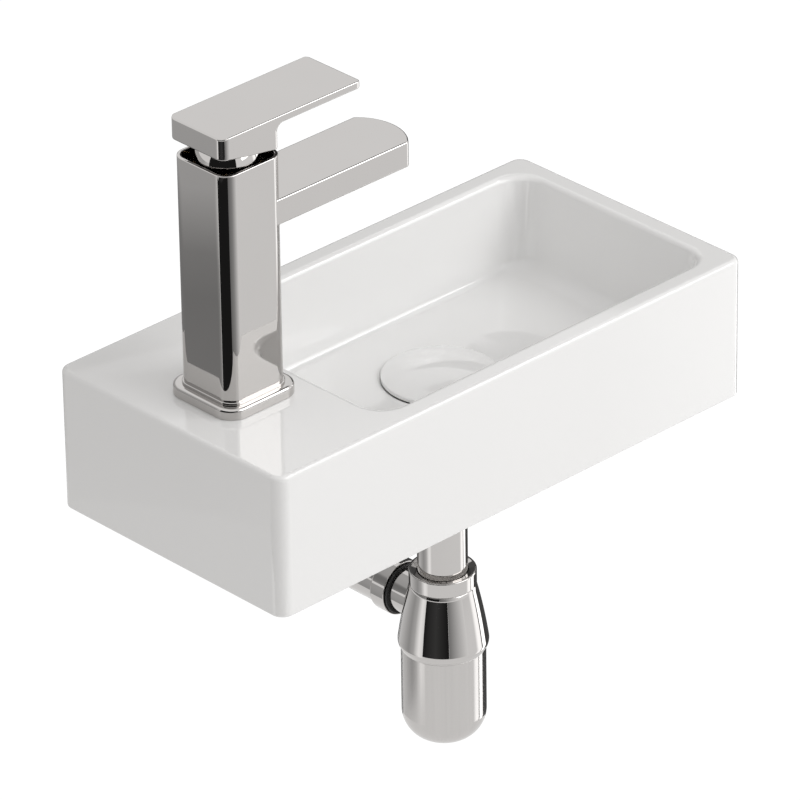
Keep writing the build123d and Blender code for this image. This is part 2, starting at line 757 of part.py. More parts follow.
# Tap body: square column, solid at the foot, with the cartridge well and an open mouth at the top
body_top_z = plinth_top_z + tap_body_height
mouth_floor_z = body_top_z - tap_mouth_depth
cartridge_top_z = mouth_floor_z - cartridge_nut_height
cartridge_bottom_z = cartridge_top_z - cartridge_height
body_face_x = tap_x + tap_body_width / 2
spout_middle_z = body_top_z - spout_below_top - spout_thickness / 2
stud_bottom_z = plinth_top_z + stud_grip - stud_length
with BuildPart() as tap_body:
    with BuildSketch(tap_level(plinth_top_z)):
        RectangleRounded(tap_body_width, tap_body_width, tap_body_corner_radius)
    extrude(amount=tap_body_height)
    fillet(tap_body.edges().group_by(Axis.Z)[-1], radius=0.6)
    with BuildSketch(tap_level(plinth_top_z)):
        RectangleRounded(
            tap_body_width + 2 * tap_lip_width,
            tap_body_width + 2 * tap_lip_width,
            tap_body_corner_radius + tap_lip_width,
        )
    extrude(amount=tap_lip_height)
    mouth_width = tap_body_width - 2 * tap_mouth_wall
    with BuildSketch(tap_level(body_top_z)):
        RectangleRounded(mouth_width, mouth_width, tap_body_corner_radius - tap_mouth_wall)
    extrude(amount=-tap_mouth_depth, mode=Mode.SUBTRACT)
    with BuildSketch(tap_level(mouth_floor_z)):
        Circle(cartridge_nut_radius + thread_gap)
    extrude(amount=-cartridge_nut_height, mode=Mode.SUBTRACT)
    with BuildSketch(tap_level(cartridge_top_z)):
        Circle(cartridge_radius + cartridge_well_gap)
    extrude(amount=-cartridge_height, mode=Mode.SUBTRACT)
    with BuildSketch(tap_level(plinth_top_z)):
        with Locations((port_offset_x, 0)):
            with GridLocations(0, 2 * port_offset_y, 1, 2):
                Circle(channel_radius)
    extrude(amount=cartridge_bottom_z - plinth_top_z, mode=Mode.SUBTRACT)
    with BuildSketch(tap_level(plinth_top_z)):
        with Locations((port_offset_x, 0)):
            with GridLocations(0, 2 * port_offset_y, 1, 2):
                Circle(port_radius)
    extrude(amount=port_depth, mode=Mode.SUBTRACT)
    with BuildSketch(tap_level(plinth_top_z)):
        with Locations((stud_offset_x, 0)):
            Circle(stud_radius + running_gap)
    extrude(amount=stud_grip, mode=Mode.SUBTRACT)
    with BuildSketch(Plane((body_face_x, middle_y, spout_middle_z), x_dir=(0, 1, 0), z_dir=(1, 0, 0))):
        Circle(spigot_radius + thread_gap)
    extrude(amount=-tap_body_width / 2, mode=Mode.SUBTRACT)
keep(tap_body, "tap_body")

# Spout: flat bar that wraps the corners of the column, with a bowed end, its waterway and the aerator pocket
spout_root_x = body_face_x - tap_body_corner_radius
spout_tip_x = body_face_x + spout_reach
spout_side_end_x = spout_tip_x - spout_end_radius + math.sqrt(spout_end_radius**2 - (spout_width / 2) ** 2)
spout_bottom_z = spout_middle_z - spout_thickness / 2
aerator_x = spout_tip_x - aerator_from_tip
aerator_bottom_z = spout_bottom_z - aerator_proud
aerator_top_z = aerator_bottom_z + aerator_height
aerator_pocket_top_z = aerator_top_z + aerator_seal_thickness
with BuildPart() as tap_spout:
    with BuildSketch(Plane((0, middle_y, spout_bottom_z))):
        with BuildLine():
            ThreePointArc(
                (spout_side_end_x, -spout_width / 2),
                (spout_tip_x, 0),
                (spout_side_end_x, spout_width / 2),
            )
            Polyline(
                (spout_side_end_x, spout_width / 2),
                (spout_root_x, spout_width / 2),
                (spout_root_x, -spout_width / 2),
                (spout_side_end_x, -spout_width / 2),
            )
        make_face()
    extrude(amount=spout_thickness)
    away_from_body = tap_spout.edges().filter_by(lambda edge: edge.center().X > spout_root_x + 0.01)
    fillet(away_from_body, radius=spout_edge_round)
    with BuildSketch(tap_level(spout_bottom_z)):
        RectangleRounded(tap_body_width, tap_body_width, tap_body_corner_radius - thread_gap)
    extrude(amount=spout_thickness, mode=Mode.SUBTRACT)
    with BuildSketch(Plane((body_face_x, middle_y, spout_middle_z), x_dir=(0, 1, 0), z_dir=(1, 0, 0))):
        Circle(spigot_radius)
    extrude(amount=-spigot_length)
    with BuildSketch(
        Plane((body_face_x - spigot_length, middle_y, spout_middle_z), x_dir=(0, 1, 0), z_dir=(1, 0, 0))
    ):
        Circle(waterway_radius)
    extrude(amount=aerator_x - body_face_x + spigot_length, mode=Mode.SUBTRACT)
    with BuildSketch(Plane((aerator_x, middle_y, spout_bottom_z))):
        Circle(aerator_radius + thread_gap)
    extrude(amount=aerator_pocket_top_z - spout_bottom_z, mode=Mode.SUBTRACT)
keep(tap_spout, "tap_spout")

insert_radius = aerator_radius - aerator_wall - thread_gap
with BuildPart() as aerator_housing:
    with BuildSketch(Plane((aerator_x, middle_y, aerator_bottom_z))):
        Circle(aerator_radius)
    extrude(amount=aerator_height)
    fillet(aerator_housing.edges().group_by(Axis.Z)[0], radius=0.5)
    with BuildSketch(Plane((aerator_x, middle_y, aerator_bottom_z))):
        Circle(insert_radius - insert_lip)
    extrude(amount=aerator_height, mode=Mode.SUBTRACT)
    with BuildSketch(Plane((aerator_x, middle_y, aerator_top_z))):
        Circle(aerator_radius - aerator_wall)
    extrude(amount=-insert_height, mode=Mode.SUBTRACT)
keep(aerator_housing, "aerator_housing")

with BuildPart() as aerator_insert:
    with BuildSketch(Plane((aerator_x, middle_y, aerator_top_z - insert_height))):
        Circle(insert_radius)
        with HexLocations(insert_hole_pitch / 2, insert_hole_rows, insert_hole_rows, major_radius=False):
            Circle(insert_hole_radius, mode=Mode.SUBTRACT)
    extrude(amount=insert_height)
keep(aerator_insert, "aerator_insert")

with BuildPart() as aerator_seal:
    with BuildSketch(Plane((aerator_x, middle_y, aerator_top_z))):
        Circle(aerator_radius)
        Circle(aerator_radius - aerator_wall, mode=Mode.SUBTRACT)
    extrude(amount=aerator_seal_thickness)
keep(aerator_seal, "aerator_seal")

# Mixer cartridge with its two port rings, held down by a ring nut
pivot_z = body_top_z - ball_below_mouth
rotor_bottom_z = cartridge_top_z + free_gap
with BuildPart() as mixer_cartridge:
    with BuildSketch(tap_level(cartridge_bottom_z)):
        Circle(cartridge_radius)
    extrude(amount=cartridge_height)
    with BuildSketch(tap_level(cartridge_top_z)):
        Circle(rotor_shank_radius + running_gap)
    extrude(amount=-rotor_shank_length, mode=Mode.SUBTRACT)
    with BuildSketch(tap_level(cartridge_bottom_z)):
        with Locations((port_offset_x, 0)):
            with GridLocations(0, 2 * port_offset_y, 1, 2):
                Circle(cartridge_seal_radius + cartridge_seal_wire)
                Circle(channel_radius, mode=Mode.SUBTRACT)
    extrude(amount=2 * cartridge_seal_wire, mode=Mode.SUBTRACT)
    with BuildSketch(Plane((tap_x, middle_y, spout_middle_z), x_dir=(0, 1, 0), z_dir=(1, 0, 0))):
        Rectangle(cartridge_outlet_width, cartridge_outlet_height)
    extrude(amount=cartridge_radius, mode=Mode.SUBTRACT)
keep(mixer_cartridge, "mixer_cartridge")

with BuildPart() as cartridge_seals:
    with BuildSketch(tap_level(cartridge_bottom_z)):
        with Locations((port_offset_x, 0)):
            with GridLocations(0, 2 * port_offset_y, 1, 2):
                Circle(cartridge_seal_radius + cartridge_seal_wire - thread_gap)
                Circle(channel_radius + thread_gap, mode=Mode.SUBTRACT)
    extrude(amount=2 * cartridge_seal_wire)
keep(cartridge_seals, "cartridge_seals")

with BuildPart() as cartridge_nut:
    with BuildSketch(tap_level(cartridge_top_z)):
        Circle(cartridge_nut_radius)
        Circle(cartridge_nut_bore, mode=Mode.SUBTRACT)
    extrude(amount=cartridge_nut_height)
keep(cartridge_nut, "cartridge_nut")

# Ball cover over the nut, open at the top for the lever's stem
ball_foot_z = mouth_floor_z
ball_mouth_z = pivot_z + math.sqrt(ball_radius**2 - ball_mouth_radius**2)
with BuildPart() as ball_cover:
    with Locations((tap_x, middle_y, pivot_z)):
        Sphere(ball_radius)
        Sphere(ball_radius - ball_wall, mode=Mode.SUBTRACT)
    split(bisect_by=Plane.XY.offset(ball_foot_z), keep=Keep.TOP)
    with BuildSketch(tap_level(pivot_z)):
        Circle(ball_mouth_radius)
    extrude(amount=ball_radius, mode=Mode.SUBTRACT)
keep(ball_cover, "ball_cover")

# Rotor in the cartridge: turns with the lever and carries the pin that the stem tilts on
rotor_top_z = pivot_z + rotor_above_pivot
stem_bottom_z = pivot_z - stem_below_pivot
with BuildPart() as lever_rotor:
    with BuildSketch(tap_level(rotor_bottom_z)):
        Circle(rotor_radius)
    extrude(amount=rotor_top_z - rotor_bottom_z)
    with BuildSketch(tap_level(rotor_bottom_z)):
        Circle(rotor_shank_radius)
    extrude(amount=free_gap - rotor_shank_length)
    with BuildSketch(tap_level(rotor_top_z)):
        Rectangle(2 * rotor_radius, stem_width + 2 * free_gap)
    extrude(amount=stem_bottom_z - rotor_slot_margin - rotor_top_z, mode=Mode.SUBTRACT)
    with BuildSketch(Plane((tap_x, middle_y, pivot_z), x_dir=(1, 0, 0), z_dir=(0, 1, 0))):
        Circle(pivot_pin_radius)
    extrude(amount=rotor_radius, both=True, mode=Mode.SUBTRACT)
keep(lever_rotor, "lever_rotor")

with BuildPart() as pivot_pin:
    with BuildSketch(Plane((tap_x, middle_y, pivot_z), x_dir=(1, 0, 0), z_dir=(0, 1, 0))):
        Circle(pivot_pin_radius)
    extrude(amount=rotor_radius - pivot_pin_radius / 2, both=True)
keep(pivot_pin, "pivot_pin")

# Lever: stem, flat handle with its block, grub screw and plug
lever_top_z = body_top_z + lever_rise
stem_top_z = lever_top_z - stem_cover
with BuildPart() as lever_stem:
    with BuildSketch(tap_level(stem_bottom_z)):
        Rectangle(stem_width, stem_width)
    extrude(amount=stem_top_z - stem_bottom_z)
    with BuildSketch(Plane((tap_x, middle_y, pivot_z), x_dir=(1, 0, 0), z_dir=(0, 1, 0))):
        Circle(pivot_pin_radius + running_gap)
    extrude(amount=stem_width, both=True, mode=Mode.SUBTRACT)
keep(lever_stem, "lever_stem")

lever_back_x = -lever_behind
lever_tip_x = lever_length - lever_behind
block_front_x = lever_back_x + block_length
blade_bottom_z = lever_top_z - blade_thickness
lever_side_y = middle_y + lever_width / 2
grub_z = lever_top_z - grub_below_top
with BuildPart() as lever:
    with BuildSketch(tap_section()):
        with BuildLine():
            Polyline(
                (lever_back_x, lever_top_z),
                (lever_tip_x, lever_top_z),
                (lever_tip_x, blade_bottom_z),
                (block_front_x, blade_bottom_z),
                (block_front_x, lever_top_z - block_height_front),
                (lever_back_x, lever_top_z - block_height_back),
                close=True,
            )
        make_face()
    extrude(amount=lever_width / 2, both=True)
    back_corners = lever.edges().filter_by(Axis.Z).group_by(Axis.X)[0]
    fillet(back_corners, radius=lever_back_corner)
    tip_corners = lever.edges().filter_by(Axis.Z).group_by(Axis.X)[-1]
    fillet(tip_corners, radius=lever_tip_corner)
    root_edge = (
        lever.edges()
        .filter_by(Axis.Y)
        .filter_by_position(Axis.Z, blade_bottom_z - 0.01, blade_bottom_z + 0.01)
        .sort_by(Axis.X)[0]
    )
    fillet(root_edge, radius=blade_root_round)
    fillet(lever.edges().group_by(Axis.Z)[-1], radius=lever_edge_round)
    with Locations((tap_x, middle_y, pivot_z)):
        Sphere(ball_radius + 2 * free_gap, mode=Mode.SUBTRACT)
    with BuildSketch(tap_level(pivot_z)):
        Rectangle(stem_width + thread_gap, stem_width + thread_gap)
    extrude(amount=stem_top_z + thread_gap - pivot_z, mode=Mode.SUBTRACT)
    with BuildSketch(Plane((tap_x, middle_y, grub_z), x_dir=(1, 0, 0), z_dir=(0, 1, 0))):
        Circle(grub_radius)
    extrude(amount=lever_width / 2, mode=Mode.SUBTRACT)
    with BuildSketch(Plane((tap_x, lever_side_y, grub_z), x_dir=(1, 0, 0), z_dir=(0, 1, 0))):
        Circle(plug_radius)
    extrude(amount=-plug_length, mode=Mode.SUBTRACT)
keep(lever, "lever")

stem_face_y = middle_y + stem_width / 2
with BuildPart() as grub_screw:
    with BuildSketch(Plane((tap_x, stem_face_y, grub_z), x_dir=(1, 0, 0), z_dir=(0, 1, 0))):
        Circle(grub_radius)
    extrude(amount=grub_length)
    with BuildSketch(Plane((tap_x, stem_face_y + grub_length, grub_z), x_dir=(1, 0, 0), z_dir=(0, 1, 0))):
        RegularPolygon(grub_radius / 2, 6, major_radius=False)
    extrude(amount=-grub_radius, mode=Mode.SUBTRACT)
keep(grub_screw, "grub_screw")

with BuildPart() as screw_plug:
    with BuildSketch(Plane((tap_x, lever_side_y, grub_z), x_dir=(1, 0, 0), z_dir=(0, 1, 0))):
        Circle(plug_radius)
    extrude(amount=-plug_length)
    chamfer(screw_plug.edges().group_by(Axis.Y)[-1], length=0.3)
keep(screw_plug, "screw_plug")

# Fixing under the deck: stud, horseshoe gasket and washer, long nut
stud_x = tap_x + stud_offset_x
gasket_bottom_z = deck_underside_z - horseshoe_gasket_thickness
washer_bottom_z = gasket_bottom_z - horseshoe_washer_thickness
with BuildPart() as fixing_stud:
    with BuildSketch(Plane((stud_x, middle_y, stud_bottom_z))):
        Circle(stud_radius)
    extrude(amount=stud_length)
    chamfer(fixing_stud.edges().group_by(Axis.Z)[0], length=0.8)
keep(fixing_stud, "fixing_stud")

opening_middle_x = stud_offset_x + horseshoe_web + horseshoe_radius
with BuildSketch() as horseshoe_outline:
    Circle(horseshoe_radius)
    with Locations((opening_middle_x, 0)):
        Rectangle(2 * horseshoe_radius, horseshoe_opening, mode=Mode.SUBTRACT)
    with Locations((stud_offset_x, 0)):
        Circle(stud_radius + slip_gap, mode=Mode.SUBTRACT)

with BuildPart() as horseshoe_gasket:
    with BuildSketch(tap_level(gasket_bottom_z)):
        add(horseshoe_outline.sketch)
    extrude(amount=horseshoe_gasket_thickness)
keep(horseshoe_gasket, "horseshoe_gasket")

with BuildPart() as horseshoe_washer:
    with BuildSketch(tap_level(washer_bottom_z)):
        add(horseshoe_outline.sketch)
    extrude(amount=horseshoe_washer_thickness)
keep(horseshoe_washer, "horseshoe_washer")

with BuildPart() as fixing_nut:
    with BuildSketch(Plane((stud_x, middle_y, washer_bottom_z))):
        RegularPolygon(fixing_nut_flats / 2, 6, major_radius=False)
        Circle(stud_radius + running_gap, mode=Mode.SUBTRACT)
    extrude(amount=-fixing_nut_height)
keep(fixing_nut, "fixing_nut")
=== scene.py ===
import json
import math

import bmesh
import bpy
from mathutils import Matrix, Vector


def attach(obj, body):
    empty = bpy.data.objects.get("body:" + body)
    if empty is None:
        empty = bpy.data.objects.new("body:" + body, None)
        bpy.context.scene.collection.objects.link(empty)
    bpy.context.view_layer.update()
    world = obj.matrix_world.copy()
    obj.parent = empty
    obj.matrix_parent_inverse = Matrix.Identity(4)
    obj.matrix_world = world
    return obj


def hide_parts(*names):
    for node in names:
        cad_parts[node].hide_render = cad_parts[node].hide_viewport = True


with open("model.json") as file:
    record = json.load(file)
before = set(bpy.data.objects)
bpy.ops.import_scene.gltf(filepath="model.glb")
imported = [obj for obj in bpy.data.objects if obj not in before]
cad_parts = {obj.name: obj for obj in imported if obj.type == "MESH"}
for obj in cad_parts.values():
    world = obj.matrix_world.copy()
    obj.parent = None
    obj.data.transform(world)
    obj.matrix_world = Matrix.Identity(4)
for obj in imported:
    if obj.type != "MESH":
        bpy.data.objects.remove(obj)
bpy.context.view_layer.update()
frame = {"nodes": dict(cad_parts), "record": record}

# Places in millimetres, in the frame of the part
MIDDLE_Y = -92.5
WASTE_X = 28.0
TAP_X = -133.3
RIM_Z = 78.0
UNDERSIDE_Z = -12.0
FLOOR_Z = 24.5
OUTLET_Z = -132.0
PLINTH_TOP_Z = 84.8
SPOUT_LOW_Z = 185.2
SPOUT_TOP_Z = 201.2
MOUTH_FLOOR_Z = 212.0
PIVOT_Z = 225.0
COLUMN_TOP_Z = 228.5
HANDLE_UNDER_Z = 248.0
HANDLE_TOP_Z = 252.5
COLUMN_HALF = 22.5
COLUMN_CORNER = 9.0
SPOUT_HALF = 22.3
HANDLE_HALF = 22.25
WASTE = Vector((WASTE_X, MIDDLE_Y, 0.0))
TAP = Vector((TAP_X, MIDDLE_Y, 0.0))


# Materials
def finish(
    name, colour, metallic, roughness, spread, scale,
    tint=0.03, bump=0.0, stretch=(1, 1, 1), coat=0.0,
):
    """A node material whose colour, roughness and relief vary a little over the piece."""
    material = bpy.data.materials.new(name)
    material.use_nodes = True
    nodes = material.node_tree.nodes
    link = material.node_tree.links.new
    shader = nodes["Principled BSDF"]
    coordinates = nodes.new("ShaderNodeTexCoord")
    mapping = nodes.new("ShaderNodeMapping")
    mapping.inputs["Scale"].default_value = stretch
    link(coordinates.outputs["Object"], mapping.inputs["Vector"])
    broad = nodes.new("ShaderNodeTexNoise")
    broad.inputs["Scale"].default_value = scale
    broad.inputs["Detail"].default_value = 3.0
    link(mapping.outputs["Vector"], broad.inputs["Vector"])
    fine = nodes.new("ShaderNodeTexNoise")
    fine.inputs["Scale"].default_value = scale * 24
    fine.inputs["Detail"].default_value = 5.0
    link(mapping.outputs["Vector"], fine.inputs["Vector"])
    mix = nodes.new("ShaderNodeMix")
    mix.data_type = "RGBA"
    mix.inputs["A"].default_value = (*[c * (1 - tint) for c in colour], 1)
    mix.inputs["B"].default_value = (*[min(1.0, c * (1 + tint)) for c in colour], 1)
    link(broad.outputs["Fac"], mix.inputs["Factor"])
    link(mix.outputs["Result"], shader.inputs["Base Color"])
    spread_out = nodes.new("ShaderNodeMapRange")
    spread_out.inputs["To Min"].default_value = max(0.0, roughness - spread)
    spread_out.inputs["To Max"].default_value = roughness + spread
    link(fine.outputs["Fac"], spread_out.inputs["Value"])
    link(spread_out.outputs["Result"], shader.inputs["Roughness"])
    shader.inputs["Metallic"].default_value = metallic
    shader.inputs["Coat Weight"].default_value = coat
    shader.inputs["Coat Roughness"].default_value = 0.03
    if bump:
        relief = nodes.new("ShaderNodeBump")
        relief.inputs["Strength"].default_value = 1.0
        relief.inputs["Distance"].default_value = bump
        link(broad.outputs["Fac"], relief.inputs["Height"])
        link(relief.outputs["Normal"], shader.inputs["Normal"])
    return material


CHROME_TONE = (0.565, 0.548, 0.535)
CERAMIC = finish(
    "glazed ceramic", (0.86, 0.86, 0.855), 0.0, 0.06, 0.02, 9, tint=0.006, bump=0.00002, coat=0.2
)
CHROME = finish("polished chrome", CHROME_TONE, 1.0, 0.035, 0.02, 30, tint=0.015, bump=0.00004)
SATIN = finish("worn chrome", CHROME_TONE, 1.0, 0.11, 0.03, 8, tint=0.05, stretch=(60, 60, 1))
BRASS = finish(
    "machined brass", (0.60, 0.42, 0.19), 1.0, 0.26, 0.08, 40, tint=0.06, stretch=(1, 1, 12)
)
STEEL = finish("plain steel", (0.52, 0.52, 0.53), 1.0, 0.30, 0.08, 50, tint=0.05)
RUBBER = finish("black rubber", (0.018, 0.018, 0.018), 0.0, 0.55, 0.12, 60, tint=0.2, bump=0.00004)
PLASTIC = finish(
    "off-white plastic", (0.62, 0.62, 0.60), 0.0, 0.42, 0.08, 50, tint=0.04, bump=0.00003
)
BY_SLOT = {
    "ceramic": CERAMIC,
    "chrome": CHROME,
    "brass": BRASS,
    "steel": STEEL,
    "rubber": RUBBER,
    "plastic": PLASTIC,
}
SLOT_OF = {material.name: slot for slot, material in BY_SLOT.items()}
SLOT_OF[SATIN.name] = "chrome"

for part in frame["record"]["subparts"]:
    node = frame["nodes"][part["node"]]
    node.data.materials.clear()
    node.data.materials.append(BY_SLOT[part["material_slot"]])


# Shapes
def rounded(points, radii, steps=8, guard=0.25):
    """A line of 2-D points with its corners rounded, and a point just outside each arc."""
    points = [Vector(p) for p in points]
    out = [points[0]]
    for before, corner, after, radius in zip(points, points[1:], points[2:], radii[1:]):
        if radius <= 0:
            out.append(corner)
            continue
        back = (before - corner).normalized()
        ahead = (after - corner).normalized()
        half = math.acos(max(-1.0, min(1.0, back.dot(ahead)))) / 2
        reach = radius / math.tan(half)
        centre = corner + (back + ahead).normalized() * (radius / math.sin(half))
        spoke = corner + back * reach - centre
        sweep = math.pi - 2 * half
        if spoke.x * (corner - centre).y - spoke.y * (corner - centre).x < 0:
            sweep = -sweep
        out.append(corner + back * (reach + guard))
        for k in range(steps + 1):
            turn = sweep * k / steps
            c, s = math.cos(turn), math.sin(turn)
            out.append(centre + Vector((c * spoke.x - s * spoke.y, s * spoke.x + c * spoke.y)))
        out.append(corner + ahead * (reach + guard))
    out.append(points[-1])
    return out


def outline(x0, x1, y0, y1, radii, sides=(10, 10), arc=12, guard=0.4):
    """A rounded rectangle, anticlockwise from the lower left corner, as (x, y, normal x, normal y).

    radii go lower right, upper right, upper left, lower left; sides are the points along x and y.
    """
    corners = [(x1, y0), (x1, y1), (x0, y1), (x0, y0)]
    starts = [-90, 0, 90, 180]
    arcs = []
    for (cx, cy), start, radius in zip(corners, starts, radii):
        inside_x = cx - radius if cx == x1 else cx + radius
        inside_y = cy - radius if cy == y1 else cy + radius
        points = []
        for k in range(arc + 1):
            turn = math.radians(start + 90 * k / arc)
            nx, ny = math.cos(turn), math.sin(turn)
            points.append((inside_x + radius * nx, inside_y + radius * ny, nx, ny))
        arcs.append(points)
    out = []
    for k in range(4):
        begin = arcs[k - 1][-1]
        end = arcs[k][0]
        length = math.hypot(end[0] - begin[0], end[1] - begin[1])
        count = sides[k % 2]
        stops = [guard] + [length * j / (count + 1) for j in range(1, count + 1)] + [length - guard]
        for stop in stops:
            share = stop / length
            x = begin[0] + (end[0] - begin[0]) * share
            y = begin[1] + (end[1] - begin[1]) * share
            out.append((x, y, end[2], end[3]))
        out += arcs[k]
    return out


def loft(loops, closed=False):
    """Points and faces of a skin over rings of equal length; open ends are capped."""
    count = len(loops[0])
    points = [p for loop in loops for p in loop]
    pairs = [(i, i + 1) for i in range(len(loops) - 1)]
    if closed:
        pairs.append((len(loops) - 1, 0))
    faces = []
    for a, b in pairs:
        for k in range(count):
            n = (k + 1) % count
            faces.append((a * count + k, a * count + n, b * count + n, b * count + k))
    if not closed:
        faces.append(tuple(reversed(range(count))))
        faces.append(tuple(range((len(loops) - 1) * count, len(loops) * count)))
    return points, faces


def turned(profile, centre=WASTE, along="z", segments=128, closed=False):
    """Points and faces of a solid turned from (radius, height) pairs about an axis."""
    points, faces, rings = [], [], []
    for radius, height in profile:
        ring = []
        for k in range(segments if radius > 1e-6 else 1):
            turn = math.tau * k / segments
            x, y = radius * math.cos(turn), radius * math.sin(turn)
            ring.append(len(points))
            if along == "z":
                points.append((centre[0] + x, centre[1] + y, height))
            else:
                points.append((centre[0] + x, height, centre[2] + y))
        rings.append(ring)
    pairs = list(zip(rings, rings[1:]))
    if closed:
        pairs.append((rings[-1], rings[0]))
    for a, b in pairs:
        for k in range(segments):
            n = (k + 1) % segments
            if len(a) == 1:
                faces.append((a[0], b[n], b[k]))
            elif len(b) == 1:
                faces.append((a[k], a[n], b[0]))
            else:
                faces.append((a[k], a[n], b[n], b[k]))
    return points, faces


def mesh_of(name, shape, material, sharp=32):
    """A mesh object from points in millimetres, smooth but for its sharp edges."""
    points, faces = shape
    mesh = bpy.data.meshes.new(name)
    mesh.from_pydata([Vector(p) / 1000 for p in points], [], faces)
    work = bmesh.new()
    work.from_mesh(mesh)
    bmesh.ops.recalc_face_normals(work, faces=work.faces)
    wide = [face for face in work.faces if len(face.verts) > 4]
    bmesh.ops.triangulate(work, faces=wide, ngon_method="EAR_CLIP")
    if work.calc_volume(signed=True) < 0:
        bmesh.ops.reverse_faces(work, faces=work.faces)
    work.to_mesh(mesh)
    work.free()
    piece = bpy.data.objects.new(name, mesh)
    bpy.context.scene.collection.objects.link(piece)
    if material:
        mesh.materials.append(material)
    soften(mesh, sharp)
    return piece


def soften(mesh, sharp=32):
    """Smooth shading, with edges above this angle kept sharp."""
    mesh.polygons.foreach_set("use_smooth", [True] * len(mesh.polygons))
    mesh.set_sharp_from_angle(angle=math.radians(sharp))
    mesh.update()


def settle(piece, sharp=32):
    """Turns a piece's modifiers into its mesh."""
    graph = bpy.context.evaluated_depsgraph_get()
    mesh = bpy.data.meshes.new_from_object(piece.evaluated_get(graph))
    piece.modifiers.clear()
    piece.data = mesh
    soften(mesh, sharp)


def combine(piece, shapes, operation="DIFFERENCE", sharp=32):
    """Cuts shapes out of a piece, or joins them on, one after the other."""
    for shape in shapes:
        tool = mesh_of("tool", shape, None)
        step = piece.modifiers.new("combine", "BOOLEAN")
        step.operation = operation
        step.solver = "EXACT"
        step.object = tool
        settle(piece, sharp)
        bpy.data.objects.remove(tool)


def place(piece, body, *nodes):
    """The piece rides on that body and stands for those CAD nodes."""
    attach(piece, body)
    if nodes:
        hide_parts(*nodes)


def rod(radius, low, high, centre=WASTE, along="z", segments=64):
    """A plain round cutter or joint piece."""
    return turned([(0, low), (radius, low), (radius, high), (0, high)], centre, along, segments)


# Basin
bowl_x = (-94.0, 171.0)
bowl_y = (-171.0, -14.0)


def wall_line(slope, foot_round, reach):
    """A bowl wall as (inset, height) points, from the rim down to the floor."""
    line = [(-6, RIM_Z), (0, RIM_Z), (slope, FLOOR_Z), (reach, FLOOR_Z)]
    return rounded(line, [0, 4, foot_round, 0], 12)


side_walls = {
    "right": wall_line(15, 13, 80),
    "left": wall_line(15, 10, 80),
    "back": wall_line(11.5, 5, 60),
    "front": wall_line(11.5, 7, 60),
}
SIDES = (48, 24)


def floor_height(x, y):
    """The bowl's floor, which falls a little towards the waste."""
    away = math.hypot(x - WASTE_X, y - MIDDLE_Y)
    return FLOOR_Z - max(0.0, min(1.0, (62.0 - away) / 23.5))


basin_loops = []
outer_wall = [(4, UNDERSIDE_Z), (0, UNDERSIDE_Z), (0, RIM_Z), (6, RIM_Z)]
for inset, height in rounded(outer_wall, [0, 1.2, 3, 0], 10):
    radius = max(2.0, 8.0 - inset)
    ring = outline(-185 + inset, 185 - inset, -185 + inset, -inset, [radius] * 4, SIDES)
    basin_loops.append([(x, y, height) for x, y, _, _ in ring])
for k in range(len(side_walls["back"]) - 1):
    wall = {side: points[k] for side, points in side_walls.items()}
    depth = wall["back"].x
    radius = 19 - depth * 3 / 11.5 if depth < 11.5 else 16 - (depth - 11.5) * 0.6
    ring = outline(
        bowl_x[0] + wall["left"].x,
        bowl_x[1] - wall["right"].x,
        bowl_y[0] + wall["front"].x,
        bowl_y[1] - wall["back"].x,
        [radius] * 4,
        SIDES,
    )
    loop = []
    for x, y, nx, ny in ring:
        across = wall["right"].y if nx > 0 else wall["left"].y
        along = wall["back"].y if ny > 0 else wall["front"].y
        loop.append((x, y, across * nx * nx + along * ny * ny))
    basin_loops.append(loop)
last = basin_loops[-1]
turns = [math.atan2(y - MIDDLE_Y, x - WASTE_X) for x, y, _ in last]
recess_line = [(60, 23.5), (33.5, 23.5), (33.5, 19.5), (23, 19.5), (23, 8)]
recess = rounded(recess_line, [0, 3, 0.8, 0.5, 0], 8)
for step in range(1, 11):
    share = step / 11
    loop = []
    for (x, y, _), turn in zip(last, turns):
        mx = x + (WASTE_X + 37 * math.cos(turn) - x) * share
        my = y + (MIDDLE_Y + 37 * math.sin(turn) - y) * share
        loop.append((mx, my, floor_height(mx, my)))
    basin_loops.append(loop)
spokes = [(math.cos(turn), math.sin(turn)) for turn in turns]
for radius, height in recess[1:]:
    basin_loops.append([(WASTE_X + radius * x, MIDDLE_Y + radius * y, height) for x, y in spokes])


def hollow(x0, x1, y0, y1, wall):
    """A pocket to cut from below, from (inset, height) pairs."""
    loops = []
    for inset, height in wall:
        corners = [max(1.0, 8 - inset)] * 4
        ring = outline(x0 + inset, x1 - inset, y0 + inset, y1 - inset, corners, (2, 2), 8)
        loops.append([(x, y, height) for x, y, _, _ in ring])
    return loft(loops)


pocket_line = [(-1, -20), (-1, -12), (0, -11), (0, 12.5), (9, 12.5)]
bowl_pocket = rounded(pocket_line, [0, 0.4, 0.4, 3, 0], 5)
deck_pocket = rounded([(0, 4), (0, 64), (9, 64)], [0, 4, 0], 5)
basin = mesh_of("basin", loft(basin_loops), CERAMIC)
combine(
    basin,
    [
        hollow(-172, 172, -172, -13, bowl_pocket),
        hollow(-171.95, -106, -171.95, -13.05, deck_pocket),
        rod(17.5, 50, 90, TAP, segments=96),
        rod(6, -20, 6, Vector((-120, 0, 0)), "y"),
        rod(6, -20, 6, Vector((120, 0, 0)), "y"),
    ],
)
place(basin, "fixed_assembly", "basin_body")

